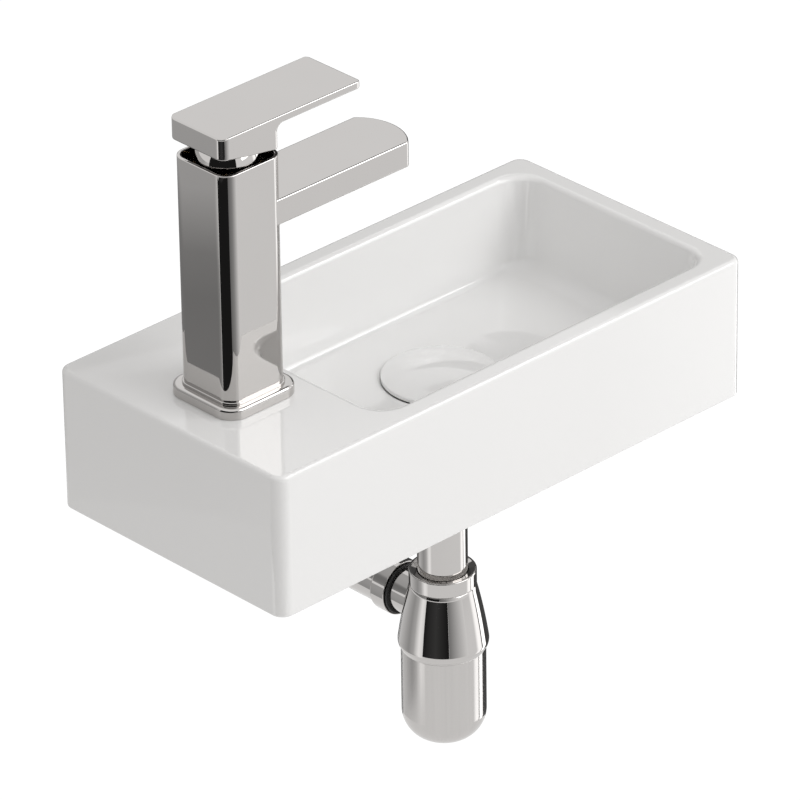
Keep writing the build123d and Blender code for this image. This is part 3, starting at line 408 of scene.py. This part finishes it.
# Waste cap: low glazed dome and the bright plate under it
CAP_RADIUS, CAP_RISE, CAP_TOP_Z = 34.8, 5.6, 31.5
dome = (CAP_RADIUS**2 + CAP_RISE**2) / (2 * CAP_RISE)
cap_line = [(0.0, 24.3), (33.3, 24.3), (33.3, 23.5)]
cap_edge = [(33.3, 23.5), (CAP_RADIUS, 23.5), (CAP_RADIUS, 25.9), (33, 26.5)]
cap_line += rounded(cap_edge, [0, 0.6, 0.8, 0], 6, 0.05)[1:-1]
for k in range(1, 25):
    radius = 34.0 * (1 - k / 24)
    cap_line.append((radius, CAP_TOP_Z - dome + math.sqrt(dome**2 - radius**2)))
waste_cap = mesh_of("waste_cap_dome", turned(cap_line), CERAMIC)
place(waste_cap, "waste_button", "waste_cap")
plate_line = rounded([(0, 23.3), (33, 23.3), (33, 24.3), (0, 24.3)], [0, 0.4, 0.2, 0], 5, 0.1)
cap_plate = mesh_of("cap_plate_disc", turned(plate_line), CHROME)
place(cap_plate, "waste_button", "cap_plate")


# Tap
def tap_ring(inset, height, width=2 * COLUMN_HALF, radius=COLUMN_CORNER):
    """A rounded square round the tap's axis."""
    half = width / 2 - inset
    low_x, high_x, low_y, high_y = TAP_X - half, TAP_X + half, MIDDLE_Y - half, MIDDLE_Y + half
    corners = [max(0.5, radius - inset)] * 4
    ring = outline(low_x, high_x, low_y, high_y, corners, (20, 20), 16)
    return [(x, y, height) for x, y, _, _ in ring]


def circle_like(loop, radius, height):
    """A circle round the tap's axis, with points in the same directions as those of a loop."""
    out = []
    for x, y, _ in loop:
        turn = math.atan2(y - TAP.y, x - TAP.x)
        out.append((TAP.x + radius * math.cos(turn), TAP.y + radius * math.sin(turn), height))
    return out


plinth_loops = []
plinth_edge = [(7, RIM_Z), (0, RIM_Z), (0, PLINTH_TOP_Z), (7, PLINTH_TOP_Z)]
for inset, height in rounded(plinth_edge, [0, 0.4, 2, 0], 8, 0.15):
    plinth_loops.append(tap_ring(inset, height, 55.5, 12.0))
plinth_loops.append(circle_like(plinth_loops[0], 16.5, PLINTH_TOP_Z))
plinth_loops.append(circle_like(plinth_loops[0], 16.5, 80.0))
plinth_loops.append(circle_like(plinth_loops[0], 23.5, 80.0))
plinth_loops.append(circle_like(plinth_loops[0], 23.5, RIM_Z))
tap_plinth = mesh_of("plinth", loft(plinth_loops, closed=True), CHROME)
place(tap_plinth, "fixed_assembly", "tap_plinth")

body_wall = rounded(
    [
        (5, PLINTH_TOP_Z),
        (-1, PLINTH_TOP_Z),
        (-1, 86.3),
        (0, 86.3),
        (0, COLUMN_TOP_Z),
        (2, COLUMN_TOP_Z),
        (2, MOUTH_FLOOR_Z),
        (6, MOUTH_FLOOR_Z),
    ],
    [0, 0.2, 0.5, 0, 0.6, 0.4, 0.3, 0],
    6,
    0.12,
)
body_loops = [tap_ring(inset, height) for inset, height in body_wall]
for radius, height in [(19.4, MOUTH_FLOOR_Z), (19.4, 206), (18.5, 206), (18.5, 172)]:
    body_loops.append(circle_like(body_loops[0], radius, height))
channel = [(0, 80), (5, 80), (5, 96.8), (3.5, 96.8), (3.5, 180), (0, 180)]
tap_body = mesh_of("column", loft(body_loops), CHROME)
combine(
    tap_body,
    [
        turned(channel, TAP + Vector((4, 9, 0)), segments=64),
        turned(channel, TAP + Vector((4, -9, 0)), segments=64),
        rod(4.05, 80, 92.8, TAP + Vector((-11, 0, 0))),
    ],
)
place(tap_body, "fixed_assembly", "tap_body")


def ball_arc(radius, start, end):
    """Points on a ball round the lever's pivot, from one lift in radians to another."""
    out = []
    for k in range(33):
        lift = start + (end - start) * k / 32
        out.append((radius * math.cos(lift), PIVOT_Z + radius * math.sin(lift)))
    return out


ball_line = ball_arc(19, math.asin(-13 / 19), math.acos(11.5 / 19))
ball_line += ball_arc(17.2, math.acos(11.5 / 17.2), math.asin(-13 / 17.2))
ball_cover = mesh_of("ball", turned(ball_line, TAP, closed=True), CHROME)
place(ball_cover, "fixed_assembly", "ball_cover")

# Spout: a flat bar with a bowed end that wraps the rounded corners of the column
face_x, tip_x, bow_radius = TAP_X + COLUMN_HALF, TAP_X + 126.8, 31.0
bow_centre = tip_x - bow_radius
side_end = bow_centre + math.sqrt(bow_radius**2 - SPOUT_HALF**2)
bow = []
for k in range(41):
    turn = math.asin(SPOUT_HALF / bow_radius) * (k / 20 - 1)
    bow.append(Vector((bow_centre + bow_radius * math.cos(turn), bow_radius * math.sin(turn))))
corner = rounded([(face_x, -SPOUT_HALF), (side_end, -SPOUT_HALF), bow[4]], [0, 3.0, 0], 8, 0.1)
straight = corner[1].x - face_x
plan = [Vector((face_x + straight * k / 16, -SPOUT_HALF)) for k in range(16)] + corner[1:-1]
plan += bow[5:-5]
plan += [Vector((p.x, -p.y)) for p in reversed(plan[: len(plan) - len(bow[5:-5])])]


def shrunk(line, amount):
    """An open plan line moved inwards, its ends kept on the same x."""
    out = []
    for k, p in enumerate(line):
        ahead = line[min(k + 1, len(line) - 1)] - line[max(k - 1, 0)]
        normal = Vector((ahead.y, -ahead.x)).normalized()
        if k in (0, len(line) - 1):
            normal = Vector((0, math.copysign(1, p.y)))
        out.append(p - normal * amount)
    return out


def root_line(half):
    """The back of the spout, round both corners of the column and along its face."""
    middle_x, side = face_x - COLUMN_CORNER, COLUMN_HALF - COLUMN_CORNER
    top = math.asin((half - side) / COLUMN_CORNER)
    out = []
    for k in range(8, -1, -1):
        turn = top * k / 8
        x, y = COLUMN_CORNER * math.cos(turn), COLUMN_CORNER * math.sin(turn)
        out.append(Vector((middle_x + x, side + y)))
    return out + [Vector((p.x, -p.y)) for p in reversed(out)]


spout_loops = []
spout_edge = [(6, SPOUT_LOW_Z), (0, SPOUT_LOW_Z), (0, SPOUT_TOP_Z), (6, SPOUT_TOP_Z)]
for inset, height in rounded(spout_edge, [0, 1.2, 1.0, 0], 8, 0.15):
    inset = min(inset, 1.6)
    ring = shrunk(plan, inset) + root_line(SPOUT_HALF - inset)
    spout_loops.append([(p.x, MIDDLE_Y + p.y, height) for p in ring])
spout = mesh_of("spout", loft(spout_loops), CHROME)
AERATOR = Vector((TAP_X + 106.8, MIDDLE_Y, 0))
combine(spout, [rod(11.1, 180, 194.5, AERATOR, segments=96)])
place(spout, "fixed_assembly", "tap_spout")

# Lever: handle and block in one, with rounded upright corners
back_x, front_x, tip = TAP_X - 23.7, TAP_X + 18.5, TAP_X + 81.8
lever_line = rounded(
    [
        (front_x + 30, HANDLE_UNDER_Z),
        (front_x, HANDLE_UNDER_Z),
        (front_x, 232.6),
        (back_x, 239.2),
        (back_x, HANDLE_TOP_Z),
        (tip, HANDLE_TOP_Z),
        (tip, HANDLE_UNDER_Z),
        (front_x + 31, HANDLE_UNDER_Z),
    ],
    [0, 4, 1.0, 1.0, 1.0, 1.0, 1.0, 0],
    6,
    0.2,
)[:-1]
filled = []
for k, p in enumerate(lever_line):
    filled.append(p)
    n = lever_line[(k + 1) % len(lever_line)]
    pieces = int((n - p).length // 6)
    filled += [p + (n - p) * j / (pieces + 1) for j in range(1, pieces + 1)]
lever_line = filled


def end_shift(away, half, radius):
    """How far a rounded upright corner falls back at this distance from the middle."""
    over = max(0.0, away - (half - radius))
    return radius - math.sqrt(max(0.0, radius * radius - over * over))


def lever_loop(y, inset):
    away = abs(y)
    back_shift = end_shift(away, HANDLE_HALF, 5.5)
    tip_shift = end_shift(away, HANDLE_HALF, 3.0)
    front_shift = end_shift(away, HANDLE_HALF, 2.0)
    out = []
    count = len(lever_line)
    for k, p in enumerate(lever_line):
        ahead = lever_line[(k + 1) % count] - lever_line[k - 1]
        normal = Vector((-ahead.y, ahead.x)).normalized()
        q = p - normal * inset
        middle = TAP_X - 5
        if q.x < middle:
            x = middle - (middle - q.x) * (middle - back_x - back_shift) / (middle - back_x)
        elif q.x > front_x + 8:
            reach = tip - front_x - 8
            x = front_x + 8 + (q.x - front_x - 8) * (reach - tip_shift) / reach
        else:
            x = q.x
            if q.x > front_x - 1.5:
                x -= front_shift * max(0.0, min(1.0, (HANDLE_UNDER_Z - q.y) / 4))
        out.append((x, MIDDLE_Y + y, q.y))
    return out


stations = [(HANDLE_HALF, 0.78), (HANDLE_HALF, 0.7)]
for angle in (15, 30, 45, 60, 75, 90):
    turn = math.radians(angle)
    stations.append((HANDLE_HALF - 0.7 + 0.7 * math.cos(turn), 0.7 - 0.7 * math.sin(turn)))
stations += [(16.75 + 4.7 * math.sin(math.radians(90 * k / 14)), 0.0) for k in range(14, -1, -1)]
stations += [(16.0, 0.0), (8.0, 0.0)]
stations = stations + [(-y, inset) for y, inset in reversed(stations)]
lever = mesh_of("handle", loft([lever_loop(y, inset) for y, inset in stations]), CHROME)
hollow_ball = []
for angle in range(-90, 91, 3):
    turn = math.radians(angle)
    hollow_ball.append((19.6 * math.cos(turn), PIVOT_Z + 19.6 * math.sin(turn)))
hollow_ball[0] = (0, PIVOT_Z - 19.6)
hollow_ball[-1] = (0, PIVOT_Z + 19.6)
combine(lever, [turned(hollow_ball, TAP, segments=96)])
place(lever, "lever_handle", "lever")

# Trap
TUBE = rounded(
    [(13.8, -196.8), (15, -196.8), (15, -49), (20.5, -49), (20.5, -47), (13.8, -47)],
    [0, 0.3, 0, 0.2, 0.2, 0],
    4,
    0.1,
)
dip_tube = mesh_of("tube", turned(TUBE, closed=True), CHROME)
place(dip_tube, "fixed_assembly", "dip_tube")
COLLAR = rounded(
    [
        (15.4, -106.5),
        (15.4, -105),
        (18.6, -104),
        (20.2, -104),
        (20.2, -114),
        (17.9, -114),
        (17.9, -106.5),
        (15.4, -106.5),
    ],
    [0, 0.2, 0.4, 0.8, 0.9, 0.2, 0, 0],
    8,
    0.08,
)[:-1]
collar = mesh_of("collar", turned(COLLAR, closed=True), CHROME)
place(collar, "fixed_assembly", "trap_collar_nut")


def arc_line(a, b, c, steps):
    """Points on the circle through three points."""
    (ax, ay), (bx, by), (cx, cy) = a, b, c
    d = 2 * (ax * (by - cy) + bx * (cy - ay) + cx * (ay - by))
    a2, b2, c2 = ax**2 + ay**2, bx**2 + by**2, cx**2 + cy**2
    ux = (a2 * (by - cy) + b2 * (cy - ay) + c2 * (ay - by)) / d
    uy = (a2 * (cx - bx) + b2 * (ax - cx) + c2 * (bx - ax)) / d
    start, end = math.atan2(ay - uy, ax - ux), math.atan2(cy - uy, cx - ux)
    radius = math.hypot(ax - ux, ay - uy)
    out = []
    for k in range(steps + 1):
        turn = start + (end - start) * k / steps
        out.append((ux + radius * math.cos(turn), uy + radius * math.sin(turn)))
    return out


cone = [(15.4, -109.5), (17.8, -109.5), (17.8, -114), (19.8, -114)]
cone += arc_line((20.0, -114.2), (24.05, -132.5), (27.0, -150.4), 16)
cone += arc_line((27.1, -151.0), (26.95, -153.4), (25.7, -155.9), 8)
cone += [(25.5, -156.5), (23.8, -156.5), (23.8, -145.6), (21.6, -145.6), (18, -116), (15.4, -116)]
trap_body = mesh_of("trap_cone", turned(cone, closed=True), CHROME)
neck = [(0, -76), (14, -76), (14, -59), (16.2, -59), (16.2, -53), (0, -53)]
combine(trap_body, [turned(neck, Vector((WASTE_X, 0, OUTLET_Z)), "y", 96)], "UNION")
combine(trap_body, [rod(10.5, -78, -48, Vector((WASTE_X, 0, OUTLET_Z)), "y", 64)])
place(trap_body, "fixed_assembly", "trap_body")

BOTTLE = rounded(
    [
        (0, -218.6),
        (25.35, -218.6),
        (25.35, -156.6),
        (23.5, -156.6),
        (23.5, -147),
        (21.9, -147),
        (21.9, -217),
        (0, -217),
    ],
    [0, 19, 0.2, 0, 0.3, 0.2, 17.4, 0],
    20,
    0.1,
)
bottle = mesh_of("cup", turned(BOTTLE), SATIN)
place(bottle, "bottle", "trap_bottle")

OUTLET = Vector((WASTE_X, 0, OUTLET_Z))
GASKET = rounded([(14.05, -61), (16, -61), (16, -59), (14.05, -59)], [0, 0.8, 0.8, 0], 6, 0.05)
gasket = mesh_of("gasket", turned(GASKET, OUTLET, "y", closed=True), RUBBER)
place(gasket, "fixed_assembly", "outlet_gasket")
NUT = rounded(
    [(15.4, -49), (15.4, -47), (17.2, -47), (17.2, -59), (16.4, -59), (16.4, -49), (15.4, -49)],
    [0, 0.3, 1.6, 0.4, 0.2, 0, 0],
    10,
    0.1,
)[:-1]
outlet_nut = mesh_of("outlet_ring", turned(NUT, OUTLET, "y", closed=True), CHROME)
place(outlet_nut, "fixed_assembly", "outlet_nut")
PIPE = [
    (13.8, -51.5),
    (16.2, -51.5),
    (16.2, -49),
    (15, -49),
    (15, 0),
    (14.8, 0),
    (14.8, 1),
    (15, 1),
    (15, 39.6),
    (14.6, 40),
    (13.8, 40),
]
outlet_tube = mesh_of("outlet_pipe", turned(PIPE, OUTLET, "y", closed=True), CHROME)
place(outlet_tube, "fixed_assembly", "outlet_tube")
FLANGE = rounded(
    [(15.4, -10), (18.5, -10), (26, -1.5), (26, 0), (24.5, 0), (17.9, -8.5), (15.4, -8.5)],
    [0, 1, 0.6, 0.2, 0, 0, 0],
    6,
    0.1,
)
wall_flange = mesh_of("wall_rose", turned(FLANGE, OUTLET, "y", closed=True), CHROME)
place(wall_flange, "fixed_assembly", "wall_flange")


# Pieces that repeat or follow a path, made by node trees
def new_tree(name, sizes):
    """A geometry tree with named number inputs, and its input and output nodes."""
    tree = bpy.data.node_groups.new(name, "GeometryNodeTree")
    tree.interface.new_socket("Geometry", in_out="OUTPUT", socket_type="NodeSocketGeometry")
    for label, value in sizes.items():
        kind = "NodeSocketInt" if isinstance(value, int) else "NodeSocketFloat"
        tree.interface.new_socket(label, in_out="INPUT", socket_type=kind)
    return tree, tree.nodes.new("NodeGroupInput"), tree.nodes.new("NodeGroupOutput")


def grown(name, tree, sizes, material):
    """The plain mesh that a tree makes with these sizes."""
    carrier = bpy.data.objects.new(name + " carrier", bpy.data.meshes.new(name))
    bpy.context.scene.collection.objects.link(carrier)
    step = carrier.modifiers.new("grow", "NODES")
    step.node_group = tree
    for item in tree.interface.items_tree:
        if item.in_out == "INPUT":
            step[item.identifier] = sizes[item.name]
    graph = bpy.context.evaluated_depsgraph_get()
    mesh = bpy.data.meshes.new_from_object(carrier.evaluated_get(graph))
    bpy.data.objects.remove(carrier)
    piece = bpy.data.objects.new(name, mesh)
    bpy.context.scene.collection.objects.link(piece)
    mesh.materials.clear()
    mesh.materials.append(material)
    return piece


def end_of_tree(tree, geometry, result, material):
    """Realizes instances and sets the material at the end of a tree."""
    real = tree.nodes.new("GeometryNodeRealizeInstances")
    paint = tree.nodes.new("GeometryNodeSetMaterial")
    paint.inputs["Material"].default_value = material
    tree.links.new(geometry, real.inputs["Geometry"])
    tree.links.new(real.outputs["Geometry"], paint.inputs["Geometry"])
    tree.links.new(paint.outputs["Geometry"], result.inputs["Geometry"])


def coil(name, centre, low, high, pitch, radius, wire, sides, material):
    """A wound wire or a thread ridge round an upright axis."""
    turns = (high - low) / pitch
    sizes = {
        "Turns": turns,
        "Steps": 48,
        "Radius": radius / 1000,
        "Height": (high - low) / 1000,
        "Wire": wire / 1000,
        "Sides": sides,
        "Across": centre[0] / 1000,
        "Along": centre[1] / 1000,
        "Base": low / 1000,
    }
    tree, given, result = new_tree(name, sizes)
    spiral = tree.nodes.new("GeometryNodeCurveSpiral")
    section = tree.nodes.new("GeometryNodeCurvePrimitiveCircle")
    wound = tree.nodes.new("GeometryNodeCurveToMesh")
    wound.inputs["Fill Caps"].default_value = True
    spot = tree.nodes.new("ShaderNodeCombineXYZ")
    moved = tree.nodes.new("GeometryNodeTransform")
    for source, target in (
        ("Steps", spiral.inputs["Resolution"]),
        ("Turns", spiral.inputs["Rotations"]),
        ("Radius", spiral.inputs["Start Radius"]),
        ("Radius", spiral.inputs["End Radius"]),
        ("Height", spiral.inputs["Height"]),
        ("Wire", section.inputs["Radius"]),
        ("Sides", section.inputs["Resolution"]),
        ("Across", spot.inputs["X"]),
        ("Along", spot.inputs["Y"]),
        ("Base", spot.inputs["Z"]),
    ):
        tree.links.new(given.outputs[source], target)
    tree.links.new(spiral.outputs["Curve"], wound.inputs["Curve"])
    tree.links.new(section.outputs["Curve"], wound.inputs["Profile Curve"])
    tree.links.new(wound.outputs["Mesh"], moved.inputs["Geometry"])
    tree.links.new(spot.outputs["Vector"], moved.inputs["Translation"])
    end_of_tree(tree, moved.outputs["Geometry"], result, material)
    piece = grown(name, tree, sizes, material)
    soften(piece.data, 40)
    return piece


def screen(name, centre, height, reach, wires, wire, material):
    """Crossed wires that fill a round hole."""
    sizes = {
        "Wires": wires,
        "Reach": reach / 1000,
        "Wire": wire / 1000,
        "Across": centre[0] / 1000,
        "Along": centre[1] / 1000,
        "Level": height / 1000,
    }
    tree, given, result = new_tree(name, sizes)
    link_up = tree.links.new

    def sum_of(kind, a, b=None):
        step = tree.nodes.new("ShaderNodeMath")
        step.operation = kind
        for socket, value in zip(step.inputs, (a, b)):
            if isinstance(value, (int, float)):
                socket.default_value = value
            elif value is not None:
                link_up(value, socket)
        return step.outputs[0]

    span = sum_of("MULTIPLY", given.outputs["Reach"], 0.94)
    start = tree.nodes.new("ShaderNodeCombineXYZ")
    link_up(sum_of("MULTIPLY", span, -1.0), start.inputs["X"])
    offset = tree.nodes.new("ShaderNodeCombineXYZ")
    gaps = sum_of("SUBTRACT", given.outputs["Wires"], 1.0)
    link_up(sum_of("DIVIDE", sum_of("MULTIPLY", span, 2.0), gaps), offset.inputs["X"])
    row = tree.nodes.new("GeometryNodeMeshLine")
    link_up(given.outputs["Wires"], row.inputs["Count"])
    link_up(start.outputs[0], row.inputs["Start Location"])
    link_up(offset.outputs[0], row.inputs["Offset"])
    place_of = tree.nodes.new("GeometryNodeInputPosition")
    apart = tree.nodes.new("ShaderNodeSeparateXYZ")
    link_up(place_of.outputs[0], apart.inputs[0])
    squared = sum_of("MULTIPLY", apart.outputs["X"], apart.outputs["X"])
    whole = sum_of("MULTIPLY", given.outputs["Reach"], given.outputs["Reach"])
    chord = sum_of("MULTIPLY", sum_of("SQRT", sum_of("SUBTRACT", whole, squared)), 2.0)
    bar = tree.nodes.new("GeometryNodeMeshCylinder")
    bar.inputs["Vertices"].default_value = 8
    bar.inputs["Depth"].default_value = 1.0
    link_up(given.outputs["Wire"], bar.inputs["Radius"])
    lay = tree.nodes.new("GeometryNodeInstanceOnPoints")
    lay.inputs["Rotation"].default_value = (math.pi / 2, 0, 0)
    size = tree.nodes.new("ShaderNodeCombineXYZ")
    size.inputs["X"].default_value = 1.0
    size.inputs["Y"].default_value = 1.0
    link_up(chord, size.inputs["Z"])
    link_up(row.outputs["Mesh"], lay.inputs["Points"])
    link_up(bar.outputs["Mesh"], lay.inputs["Instance"])
    link_up(size.outputs[0], lay.inputs["Scale"])
    turned_set = tree.nodes.new("GeometryNodeTransform")
    turned_set.inputs["Rotation"].default_value = (0, 0, math.pi / 2)
    link_up(lay.outputs["Instances"], turned_set.inputs["Geometry"])
    both_sets = tree.nodes.new("GeometryNodeJoinGeometry")
    link_up(lay.outputs["Instances"], both_sets.inputs[0])
    link_up(turned_set.outputs["Geometry"], both_sets.inputs[0])
    spot = tree.nodes.new("ShaderNodeCombineXYZ")
    link_up(given.outputs["Across"], spot.inputs["X"])
    link_up(given.outputs["Along"], spot.inputs["Y"])
    link_up(given.outputs["Level"], spot.inputs["Z"])
    moved = tree.nodes.new("GeometryNodeTransform")
    link_up(both_sets.outputs[0], moved.inputs["Geometry"])
    link_up(spot.outputs[0], moved.inputs["Translation"])
    end_of_tree(tree, moved.outputs["Geometry"], result, material)
    return grown(name, tree, sizes, material)


place(coil("waste_tail_thread", WASTE, -32.6, -2.2, 1.8, 20.85, 0.42, 6, CHROME), "fixed_assembly")
place(coil("neck_thread", WASTE, -113.6, -110.2, 1.4, 17.62, 0.22, 6, CHROME), "fixed_assembly")
place(coil("cup_thread", WASTE, -155.1, -148.3, 1.7, 23.4, 0.3, 6, SATIN), "bottle")
STUD = Vector((TAP_X - 11, MIDDLE_Y, 0))
place(coil("stud_thread", STUD, 34.2, 57.6, 1.25, 3.85, 0.3, 6, STEEL), "fixed_assembly")
button_spring = coil("button_spring", WASTE, -33.35, -16.55, 2.1, 3.0, 0.4, 12, STEEL)
place(button_spring, "fixed_assembly", "push_spring")
place(screen("flow_screen", AERATOR, 185.35, 7.85, 9, 0.16, STEEL), "fixed_assembly")

# Stage: pale floor far below, soft lamps and cards that the chrome shows
world = bpy.data.worlds.new("studio")
bpy.context.scene.world = world
world.use_nodes = True
nodes, link = world.node_tree.nodes, world.node_tree.links.new
nodes.clear()


def seen_share(nodes, link):
    """1 for camera, glossy and transmission rays, 0 for the light that falls on things."""
    path = nodes.new("ShaderNodeLightPath")
    first = nodes.new("ShaderNodeMath")
    first.operation = "MAXIMUM"
    link(path.outputs["Is Camera Ray"], first.inputs[0])
    link(path.outputs["Is Glossy Ray"], first.inputs[1])
    second = nodes.new("ShaderNodeMath")
    second.operation = "MAXIMUM"
    link(first.outputs[0], second.inputs[0])
    link(path.outputs["Is Transmission Ray"], second.inputs[1])
    return second.outputs[0]


ambient = nodes.new("ShaderNodeBackground")
ambient.inputs["Color"].default_value = (1.0, 0.985, 0.975, 1)
ambient.inputs["Strength"].default_value = 0.65
seen = nodes.new("ShaderNodeBackground")
seen.inputs["Color"].default_value = (1, 1, 1, 1)
seen.inputs["Strength"].default_value = 1.0
blend = nodes.new("ShaderNodeMixShader")
out = nodes.new("ShaderNodeOutputWorld")
link(seen_share(nodes, link), blend.inputs["Fac"])
link(ambient.outputs[0], blend.inputs[1])
link(seen.outputs[0], blend.inputs[2])
link(blend.outputs[0], out.inputs["Surface"])

floor_z, far = -772.0, 9000
floor_corners = [(x, y, floor_z) for x, y in ((-far, -far), (far, -far), (far, far), (-far, far))]
floor = mesh_of("studio_floor", (floor_corners, [(0, 1, 2, 3)]), None)
floor_paint = bpy.data.materials.new("studio floor")
floor_paint.use_nodes = True
nodes, link = floor_paint.node_tree.nodes, floor_paint.node_tree.links.new
nodes.clear()
matt = nodes.new("ShaderNodeBsdfDiffuse")
matt.inputs["Color"].default_value = (0.88, 0.88, 0.88, 1)
faint = nodes.new("ShaderNodeBsdfDiffuse")
faint.inputs["Color"].default_value = (0.12, 0.12, 0.12, 1)
glow = nodes.new("ShaderNodeEmission")
brighter = nodes.new("ShaderNodeMath")
brighter.operation = "MULTIPLY_ADD"
brighter.inputs[1].default_value = 0.12
brighter.inputs[2].default_value = 0.83
path = nodes.new("ShaderNodeLightPath")
link(path.outputs["Is Camera Ray"], brighter.inputs[0])
link(brighter.outputs[0], glow.inputs["Strength"])
both = nodes.new("ShaderNodeAddShader")
blend = nodes.new("ShaderNodeMixShader")
out = nodes.new("ShaderNodeOutputMaterial")
link(faint.outputs[0], both.inputs[0])
link(glow.outputs[0], both.inputs[1])
link(seen_share(nodes, link), blend.inputs["Fac"])
link(matt.outputs[0], blend.inputs[1])
link(both.outputs[0], blend.inputs[2])
link(blend.outputs[0], out.inputs["Surface"])
floor.data.materials.append(floor_paint)

# Camera, solved from the edges of the basin in the photo
azimuth, elevation, roll = math.radians(-43.424), math.radians(29.110), math.radians(-0.851)
level = math.cos(elevation)
back = Vector((math.sin(azimuth) * level, -math.cos(azimuth) * level, math.sin(elevation)))
right = Vector((math.cos(azimuth), math.sin(azimuth), 0))
up = back.cross(right)
c, s = math.cos(roll), math.sin(roll)
axis_x = right * c + up * s
axis_y = up * c - right * s
where = Vector((0, -95, 33)) - 4.83 * axis_x - 10.75 * axis_y + 4208 * back
CAMERA_SIDE = Vector((back.x, back.y, 0)).normalized()
IMAGE_RIGHT = right.copy()
camera_data = bpy.data.cameras.new("camera")
camera_data.sensor_width = 36.0
camera_data.lens = 7292 * 36 / 800
camera_data.clip_end = 60
camera = bpy.data.objects.new("camera", camera_data)
camera.matrix_world = Matrix(
    (
        (axis_x.x, axis_y.x, back.x, where.x / 1000),
        (axis_x.y, axis_y.y, back.y, where.y / 1000),
        (axis_x.z, axis_y.z, back.z, where.z / 1000),
        (0, 0, 0, 1),
    )
)
bpy.context.scene.collection.objects.link(camera)
bpy.context.scene.camera = camera


def lamp(name, position, size, power, aim=(0, -0.09, 0.03), size_y=None):
    """A soft rectangular lamp aimed at a point."""
    data = bpy.data.lights.new(name, "AREA")
    data.shape = "RECTANGLE"
    data.size = size
    data.size_y = size_y or size
    data.energy = power
    light = bpy.data.objects.new(name, data)
    towards = Vector(aim) - Vector(position)
    turn = towards.to_track_quat("-Z", "Y").to_matrix().to_4x4()
    light.matrix_world = Matrix.Translation(position) @ turn
    bpy.context.scene.collection.objects.link(light)


lamp("key", (1.32, -2.47, 1.88), 2.6, 46, size_y=2.2)
lamp("highlight", (1.8, -1.56, 1.92), 0.5, 3)


EVEN = [(0, 1), (1, 1)]


def card(name, start, end, levels, tones, radius=900.0):
    """A curved card that only reflections show, between two angles, left being negative.

    levels holds (height, factor) pairs, and tones (share of the way round, tone) pairs.
    """
    points, faces, shades = [], [], []
    count = max(2, int((end - start) / 2))
    for k in range(count + 1):
        share = k / count
        turn = math.radians(start + (end - start) * share)
        side = CAMERA_SIDE * math.cos(turn) + IMAGE_RIGHT * math.sin(turn)
        for (s0, t0), (s1, t1) in zip(tones, tones[1:]):
            if s0 <= share <= s1:
                tone = t0 + (t1 - t0) * (share - s0) / (s1 - s0)
        for height, factor in levels:
            points.append((-50 + side.x * radius, MIDDLE_Y + side.y * radius, height))
            shades.append(tone * factor)
    rows = len(levels)
    for k in range(count):
        for row in range(rows - 1):
            a, b = k * rows + row, (k + 1) * rows + row
            faces.append((a, b, b + 1, a + 1))
    sheet_of(name, points, faces, shades)


def sheet_of(name, points, faces, shades):
    """A glowing sheet with a tone for every point, hidden from the camera and from soft light."""
    sheet = mesh_of(name, (points, faces), None)
    layer = sheet.data.color_attributes.new("tone", "FLOAT_COLOR", "POINT")
    for spot, tone in zip(layer.data, shades):
        spot.color = (tone, tone, tone, 1)
    paint = bpy.data.materials.new(name)
    paint.use_nodes = True
    tree = paint.node_tree
    tree.nodes.clear()
    read = tree.nodes.new("ShaderNodeAttribute")
    read.attribute_name = "tone"
    light = tree.nodes.new("ShaderNodeEmission")
    end_node = tree.nodes.new("ShaderNodeOutputMaterial")
    tree.links.new(read.outputs["Color"], light.inputs["Color"])
    tree.links.new(light.outputs[0], end_node.inputs["Surface"])
    sheet.data.materials.append(paint)
    sheet.visible_camera = False
    sheet.visible_diffuse = False
    sheet.visible_shadow = False


EVEN = [(0, 1), (1, 1)]
COLUMN_LEFT = [(-88, 0.36), (-41, 0.26), (29, 0.24), (59, 0.28), (102, 0.5), (234, 0.56)]
card("grey card left", -165, -56, COLUMN_LEFT, [(0, 1), (0.85, 1), (1, 1.5)], 300)
card("black card column", -55, -3, [(-88, 0.015), (125, 0.015)], EVEN, 300)
card("grey card column", -2.5, 60, [(-88, 1), (125, 1)], [(0, 0.2), (0.35, 0.35), (1, 1.0)], 300)
LOW_LEFT = [(0, 0.85), (0.35, 0.65), (0.6, 0.42), (0.75, 0.6), (0.9, 1.3), (1, 1.1)]
card("grey card left low", -165, -53, [(-760, 1), (-130, 1)], LOW_LEFT)
CONE_BAND = [(0, 0.4), (0.15, 1), (0.5, 1.8), (0.85, 0.8), (1, 0.4)]
card("black card cone", -52, 17, [(-470, 0.03), (-130, 0.03)], CONE_BAND)
card("grey card cone", 17.5, 65, [(-470, 1), (-130, 1)], [(0, 0.25), (1, 1.0)])
card("black card high", -60, 25, [(121, 0.015), (620, 0.015)], EVEN, 890)
card("white card right", 90, 108.5, [(-760, 1), (300, 1)], [(0, 1.0), (0.4, 1.7), (1, 1.7)])
card("thin dark card right", 109, 112.5, [(-760, 0.15), (300, 0.15)], EVEN, 890)
card("white strip right", 113, 126, [(-760, 1), (300, 1)], [(0, 2.5), (1, 2.5)])
card("dark card right", 127, 210, [(-760, 0.08), (300, 0.08)], EVEN)
card("dark card behind", 150, 210, [(301, 0.1), (540, 0.1)], EVEN, 905)
above = [(470, -330, 1150), (900, -330, 1150), (900, 640, 1150), (470, 640, 1150)]
sheet_of("dark sheet above", above, [(0, 1, 2, 3)], [0.03] * 4)

scene = bpy.context.scene
scene.view_settings.view_transform = "Standard"
